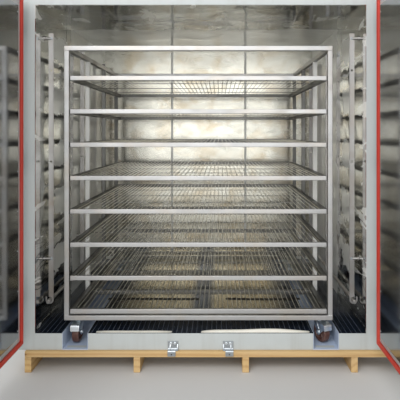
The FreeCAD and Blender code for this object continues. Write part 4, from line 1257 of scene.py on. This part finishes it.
def makeCasters():
    wheelLow, wheelHigh = local("front_left_wheel")
    plateLow, plateHigh = local("front_caster_plates")
    forkTop = local("front_left_fork")[1].z
    radius, wide = (wheelHigh.z - wheelLow.z) / 2, wheelHigh.x - wheelLow.x
    axle = wheelLow.z + radius
    left = (wheelLow.x + wheelHigh.x) / 2
    right = plateLow.x + plateHigh.x - left
    frontY = (plateLow.y + plateHigh.y) / 2
    rearY = sum(corner.y for corner in local("rear_left_wheel")) / 2
    trail = frontY - (wheelLow.y + wheelHigh.y) / 2
    plateHalf = [size / 2 for size in casterForm["plate"]]
    under = plateHigh.z - casterForm["plateThick"]
    headDeep, head = under - plateLow.z, casterForm["head"]

    def topPlate(piece, x, y):
        plateX, plateY = (x - plateHalf[0], x + plateHalf[0]), (y - plateHalf[1], y + plateHalf[1])
        piece.add(slab(plateX, plateY, (under, plateHigh.z), 0.001))
        boltX, boltY = casterForm["plateBolts"]
        for dx in (-boltX, boltX):
            for dy in (-boltY, boltY):
                piece.bolt(at(x + dx, y + dy, under), (0, 0, -1), casterForm["plateBolt"], 1)

    tops = Piece("caster_top_plates", "trolley", "caster_zinc", casterZinc, zinc)
    race = [(0, 0.0), (head - 0.004, 0.0), (head - 0.001, 0.002)]
    race += [(head, headDeep * 0.5), (head - 0.002, headDeep), (0, headDeep)]
    for x in (left, right):
        topPlate(tops, x, frontY)
        tops.add(lathe(race, at(x, frontY, plateLow.z), sides=40))
    tops.done("front_caster_plates")

    def wheel(name, body, node, place, behind):
        roller = Piece(name, body, "wheel_resin", wheelResin, zinc, matrix=place)
        wheelParts(roller, behind, axle, radius, wide)
        roller.done(node)

    nut = [(0, 0), (0.011, 0), (0.011, -0.004), (0, -0.004)]
    for side, x, angle in (("left", left, 0), ("right", right, math.radians(casterForm["turned"]))):
        place = about(x, frontY, angle)
        fork = Piece(side + "_caster_fork", side + "_caster", "caster_zinc", casterZinc, matrix=place)
        forkParts(fork, trail, axle, forkTop)
        fork.add(lathe(nut, at(0, 0, forkTop - 0.004), sides=6))
        fork.done("front_%s_fork" % side)
        wheel(side + "_caster_wheel", side + "_front_roller", "front_%s_wheel" % side, place, trail)
    rear = Piece("rear_caster_brackets", "trolley", "caster_zinc", casterZinc, zinc)
    for side, x in (("left", left), ("right", right)):
        rear.matrix = about(x, rearY, 0)
        wheel(side + "_rear_wheel", side + "_rear_roller", "rear_%s_wheel" % side, rear.matrix, 0)
        forkParts(rear, 0, axle, under)
        topPlate(rear, 0, 0)
    rear.done("rear_caster_forks")


plenumForm = {"covers": 3, "coverIn": 0.04, "proud": 0.0015, "ribs": 5, "ribEnd": 0.12, "ribHalf": 0.09}


def makePlenum():
    low, high = local("fan_plenum")
    coverIn, proud, ribHalf = plenumForm["coverIn"], plenumForm["proud"], plenumForm["ribHalf"]
    plenum = Piece("plenum_housing", "oven", "body_paint", cabinetPaint, zinc)
    plenum.add(fill(low, high, 0.004, 3))
    stops = spread(low.x + coverIn, high.x - coverIn, plenumForm["covers"] + 1)
    for first, second in zip(stops, stops[1:]):
        deep, tall = (low.y - proud, low.y + 0.004), (low.z + coverIn, high.z - coverIn)
        plenum.add(slab((first + 0.01, second - 0.01), deep, tall, 0.0012, 1))
        for x in (first + 0.03, (first + second) / 2, second - 0.03):
            for z in (low.z + 0.06, high.z - 0.06):
                plenum.screw(at(x, low.y - proud, z), (0, -1, 0), 0.005, 1)
    for y in spread(low.y + plenumForm["ribEnd"], high.y - plenumForm["ribEnd"], plenumForm["ribs"]):
        for sign in (-1, 1):
            face = sided(sign, high.x, high.x + proud)
            plenum.add(slab(face, (y - ribHalf, y + ribHalf), (low.z + 0.05, high.z - 0.05), 0.001, 1))
    plenum.done("fan_plenum")


motorForm = {
    "radius": 0.130, "fins": 28, "fin": (0.078, 0.0955), "finHalf": 0.0016, "boxGap": 0.2,
    "box": (0.078, 0.118), "boxHalf": 0.04, "lid": (0.118, 0.124), "lidOver": 0.003,
    "bolts": 4, "boltReach": 0.116, "boltStart": 45, "bolt": 0.008,
    "rings": 5, "ring": 0.016, "ringPitch": 0.012, "ringWire": 0.0013,
}


def makeMotors():
    low, high = local("fan_motors")
    tall, y = high.z - low.z, (low.y + high.y) / 2
    boxHalf, boxZ = motorForm["boxHalf"], low.z + 0.11
    lidHalf = boxHalf + motorForm["lidOver"]
    flange = [(0, 0), (0.129, 0), (0.130, 0.001), (0.130, 0.012), (0.127, 0.014)]
    flange += [(0.105, 0.014), (0.090, 0.030)]
    body = [(0.082, 0.036), (0.082, tall * 0.73), (0.092, tall * 0.735)]
    cowl = [(0.095, tall * 0.75), (0.095, tall * 0.96), (0.088, tall * 0.995), (0.07, tall), (0, tall)]
    gland = [(0, 0), (0.011, 0), (0.011, 0.012), (0.008, 0.013), (0.008, 0.024), (0, 0.026)]
    motors = Piece("fan_drive_motors", "oven", "motor_paint", motorPaint, blackPlastic, zinc)
    for sign in (-1, 1):
        x = sign * (high.x - motorForm["radius"])
        centre = at(x, y, low.z)
        motors.add(lathe(flange + body + cowl, centre, sides=48))
        for index in range(motorForm["fins"]):
            angle = math.tau * index / motorForm["fins"]
            # The fins leave room for the terminal box.
            if abs(math.sin(angle)) < motorForm["boxGap"] and math.cos(angle) * sign > 0:
                continue
            finHalf = motorForm["finHalf"]
            fin = slab(motorForm["fin"], (-finHalf, finHalf), (0.04, tall * 0.73), 0.0006, 1)
            fin.transform(Matrix.Translation((0, 0, low.z)) @ about(x, y, angle))
            motors.add(fin)
        boxX, lidX = (sorted(x + sign * out for out in motorForm[name]) for name in ("box", "lid"))
        motors.add(slab(boxX, (y - boxHalf, y + boxHalf), (boxZ - boxHalf, boxZ + boxHalf), 0.006, 3))
        motors.add(slab(lidX, (y - lidHalf, y + lidHalf), (boxZ - lidHalf, boxZ + lidHalf), 0.003))
        motors.add(lathe(gland, at(x + sign * 0.098, y - boxHalf, boxZ), (0, -1, 0), 18), 1)
        foot = centre + Vector((0, 0, 0.014))
        boltStart = math.radians(motorForm["boltStart"])
        motors.boltRing(foot, motorForm["boltReach"], motorForm["bolts"], boltStart, motorForm["bolt"], 2)
        for index in range(motorForm["rings"]):
            ring = motorForm["ring"] + motorForm["ringPitch"] * index
            path = [centre + Vector((a, b, tall - 0.0006)) for a, b in arc((0, 0), ring, 0, 345, 23)]
            motors.add(sweep(circle(motorForm["ringWire"], 6), path, closed=True), 1)
    motors.done("fan_motors")


def makeStack():
    low, high = local("exhaust_stack")
    x, y, long = (low.x + high.x) / 2, (low.y + high.y) / 2, high.z - low.z
    profile = [(0.077, 0), (0.120, 0), (0.120, 0.005), (0.1185, 0.006), (0.083, 0.006), (0.080, 0.009)]
    profile += [(0.080, long - 0.06), (0.0815, long - 0.055), (0.0815, long - 0.05), (0.080, long - 0.045)]
    profile += [(0.080, long - 0.001), (0.0795, long), (0.0775, long), (0.077, long - 0.001)]
    stack = Piece("exhaust_spigot", "oven", "stack_steel", stackSteel, zinc)
    stack.add(lathe(profile, at(x, y, low.z), sides=64, loop=True))
    stack.boltRing(at(x, y, low.z + 0.006), 0.104, 6, 0, 0.0065, 1)
    stack.weld(at(x - 0.0795, y, low.z + 0.012), at(x - 0.0795, y, high.z - 0.064), (0, 1, 0))
    stack.done("exhaust_stack")


cabinetForm = {
    "louvres": 7, "louvreWide": 0.16, "louvrePitch": 0.024, "louvreAt": (0.14, -0.32), "eyeIn": 0.04,
    "hingeFromEnd": 0.16, "knobOff": 0.34,
}


def makeCabinet():
    low, high = local("cabinet_plinth")
    plinth = Piece("cabinet_foot", "oven", "plinth_paint", plinthPaint, zinc)
    plinth.add(fill(low, high, 0.003))
    for x in (low.x + 0.03, high.x - 0.03):
        plinth.bolt(at(x, low.y, low.z + 0.05), (0, -1, 0), 0.007, 1)
    plinth.done("cabinet_plinth")

    low, high = local("control_cabinet")
    middle, half, eyeIn = (low.y + high.y) / 2, cabinetForm["louvreWide"] / 2, cabinetForm["eyeIn"]
    louvreY = (middle - half, middle + half)
    foot, head = cabinetForm["louvreAt"]
    case = Piece("cabinet_case", "oven", "body_paint", cabinetPaint, blackPlastic, zinc)
    case.add(fill(low, high, 0.003, 3))
    for base in (low.z + foot, high.z + head):
        for index in range(cabinetForm["louvres"]):
            z = base + cabinetForm["louvrePitch"] * index
            hood = [(high.x - 0.001, z), (high.x + 0.007, z + 0.001)]
            hood += [(high.x + 0.0075, z + 0.004), (high.x - 0.001, z + 0.015)]
            case.add(prism(hood, "y", *louvreY, 0.001))
            # A black strip under each hood paints the shade of the louvre slot.
            case.add(slab((high.x - 0.0005, high.x + 0.0004), louvreY, (z - 0.003, z), 0.0, 1), 1)
    eye = [(0, 0), (0.016, 0), (0.016, 0.003), (0.009, 0.004), (0.009, 0.012), (0, 0.013)]
    for x in (low.x + eyeIn, high.x - eyeIn):
        for y in (low.y + eyeIn, high.y - eyeIn):
            case.add(lathe(eye, at(x, y, high.z), sides=20), 2)
    case.done("control_cabinet")

    low, high = local("cabinet_door")
    fromEnd, knobOff, lockZ = cabinetForm["hingeFromEnd"], cabinetForm["knobOff"], (low.z + high.z) / 2
    knob = [(0, 0), (0.014, 0), (0.014, 0.003), (0.012, 0.005)]
    knob += [(0.0045, 0.005), (0.0045, 0.0015), (0, 0.0015)]
    door = Piece("cabinet_front", "oven", "body_paint", cabinetPaint, blackPlastic, zinc)
    door.add(fill(low, high, 0.004, 3))
    for z in (low.z + fromEnd, high.z - fromEnd):
        door.add(lathe(bar(0.008, 0.07, 0.001), at(high.x + 0.004, low.y + 0.006, z), sides=18), 2)
    for z in (lockZ - knobOff, lockZ + knobOff):
        door.add(lathe(knob, at(low.x + 0.026, low.y, z), (0, -1, 0), 24), 2)
    door.done("cabinet_door")
    makeFittings(low.y)


fittingForm = {
    "screenHigh": 0.120, "keys": 5, "keyPitch": 0.03,
    "lamps": (3, 4, 5, 3), "lampDown": 0.070, "lampPitch": 0.070, "switchDown": 0.210,
}


def makeFittings(face):
    # Screen, keys, lamps and main switch on the cabinet's door, none with writing.
    low, high = local("control_fittings")
    x, screen = (low.x + high.x) / 2, high.z - fittingForm["screenHigh"]
    fittings = Piece(
        "cabinet_controls", "oven", "black_plastic", blackPlastic,
        glowing("display_glass", (0.02, 0.05, 0.06), 0.25), zinc,
        glowing("lamp_green", (0.04, 0.35, 0.10), 0.15), glowing("lamp_amber", (0.55, 0.26, 0.02), 0.1),
        glowing("lamp_red", (0.45, 0.03, 0.02), 0.1),
        moulded("switch_red", (0.5, 0.03, 0.02), (0.35, 0.05, 0.04), 0.35),
        moulded("switch_yellow", (0.75, 0.5, 0.03), (0.6, 0.42, 0.08), 0.4),
    )

    def plate(middle, half, near, far, tall, radius, segments, look):
        piece = slab((middle - half, middle + half), (face - near, face - far), tall, radius, segments)
        fittings.add(piece, look)

    plate(x, 0.095, 0.014, 0, (screen, high.z), 0.004, 3, 0)
    plate(x, 0.075, 0.0144, 0.010, (screen + 0.022, high.z - 0.012), 0.001, 2, 1)
    for index in range(fittingForm["keys"]):
        keyX = x - 0.06 + fittingForm["keyPitch"] * index
        plate(keyX, 0.009, 0.0155, 0.010, (screen + 0.006, screen + 0.015), 0.0015, 2, 2)
    bezel = [(0.009, 0), (0.014, 0), (0.014, 0.004), (0.012, 0.006), (0.009, 0.006)]
    lens = [(0.0095, 0.001), (0.0095, 0.008), (0.008, 0.014), (0.005, 0.0172), (0, 0.018)]
    for index, look in enumerate(fittingForm["lamps"]):
        centre = at(x + (index - 1.5) * fittingForm["lampPitch"], face, screen - fittingForm["lampDown"])
        fittings.add(lathe(bezel, centre, (0, -1, 0), 28, loop=True), 2)
        fittings.add(lathe(lens, centre, (0, -1, 0), 28), look)
    z = screen - fittingForm["switchDown"]
    dial = [(0, 0.002), (0.026, 0.002), (0.026, 0.008), (0.022, 0.012), (0.020, 0.020), (0, 0.020)]
    plate(x, 0.030, 0.003, 0, (z - 0.030, z + 0.030), 0.002, 2, 7)
    fittings.add(lathe(dial, at(x, face, z), (0, -1, 0), 36), 6)
    plate(x, 0.006, 0.034, 0.018, (z - 0.024, z + 0.024), 0.003, 3, 6)
    fittings.done("control_fittings")


studio = {
    "key": {"place": (-2.2, -7.2, 7.2), "size": (6.0, 4.0), "power": 490, "aim": (0, 0.4, 0.7)},
    "fill": {"place": (0.1, -8.0, 2.0), "size": (7.5, 3.6), "power": 165, "aim": (0.1, 0.8, 0.55)},
    "world": 0.78,
    "floor": (0.62, 0.62, 0.61),
    "floorSize": 30,
    "floorDown": 0.0005,
}


def makeStudio():
    for name in ("key", "fill"):
        values = studio[name]
        lamp = bpy.data.lights.new(name, "AREA")
        lamp.shape = "RECTANGLE"
        lamp.size, lamp.size_y = values["size"]
        lamp.energy = values["power"]
        thing = bpy.data.objects.new(name, lamp)
        thing.location = at(*values["place"])
        aim = at(*values["aim"]) - thing.location
        thing.rotation_euler = aim.to_track_quat("-Z", "Y").to_euler()
        bpy.context.collection.objects.link(thing)

    # White to the camera and in mirrors, dimmer as a light on the oven.
    world = bpy.data.worlds.new("studio")
    bpy.context.scene.world = world
    look = Look("studio", world)
    kinds = ("Camera", "Glossy", "Transmission")
    rays = [look.node("LightPath", {}, {}, "Is %s Ray" % kind) for kind in kinds]
    plain = (rays[0] + rays[1] + rays[2]).clamp()
    strength = studio["world"] + (1 - studio["world"]) * plain
    back = look.node("Background", {}, {"Color": (1.0, 1.0, 1.0), "Strength": strength})
    out = look.tree.nodes.new("ShaderNodeOutputWorld")
    look.tree.links.new(back.socket, out.inputs["Surface"])

    floor = bmesh.new()
    bmesh.ops.create_grid(floor, x_segments=8, y_segments=8, size=studio["floorSize"])
    data = bpy.data.meshes.new("studio_floor")
    floor.to_mesh(data)
    floor.free()
    thing = bpy.data.objects.new("studio_floor", data)
    thing.location.z = -studio["floorDown"]
    bpy.context.collection.objects.link(thing)
    ground = Look("studio_floor")
    cloud = ground.noise(0.7, 4)
    tone = ground.mix(cloud, studio["floor"], tuple(part * 0.96 for part in studio["floor"]))
    data.materials.append(ground.finish(Base_Color=tone, Roughness=0.85 + 0.05 * cloud))
    bpy.context.scene.view_settings.view_transform = "Standard"


makeCamera()
makeStudio()
print("camera and studio ready")
makePallet()
makeBody()
makeChannels()
makeLining()
print("oven body built")
makeGuides()
makeKeepers()
makeHinges()
makeDoors()
print("doors built")
makeTrolleyFrame()
makeShelves()
makeCasters()
print("trolley built")
makePlenum()
makeMotors()
makeStack()
makeCabinet()
print("roof and cabinet built")
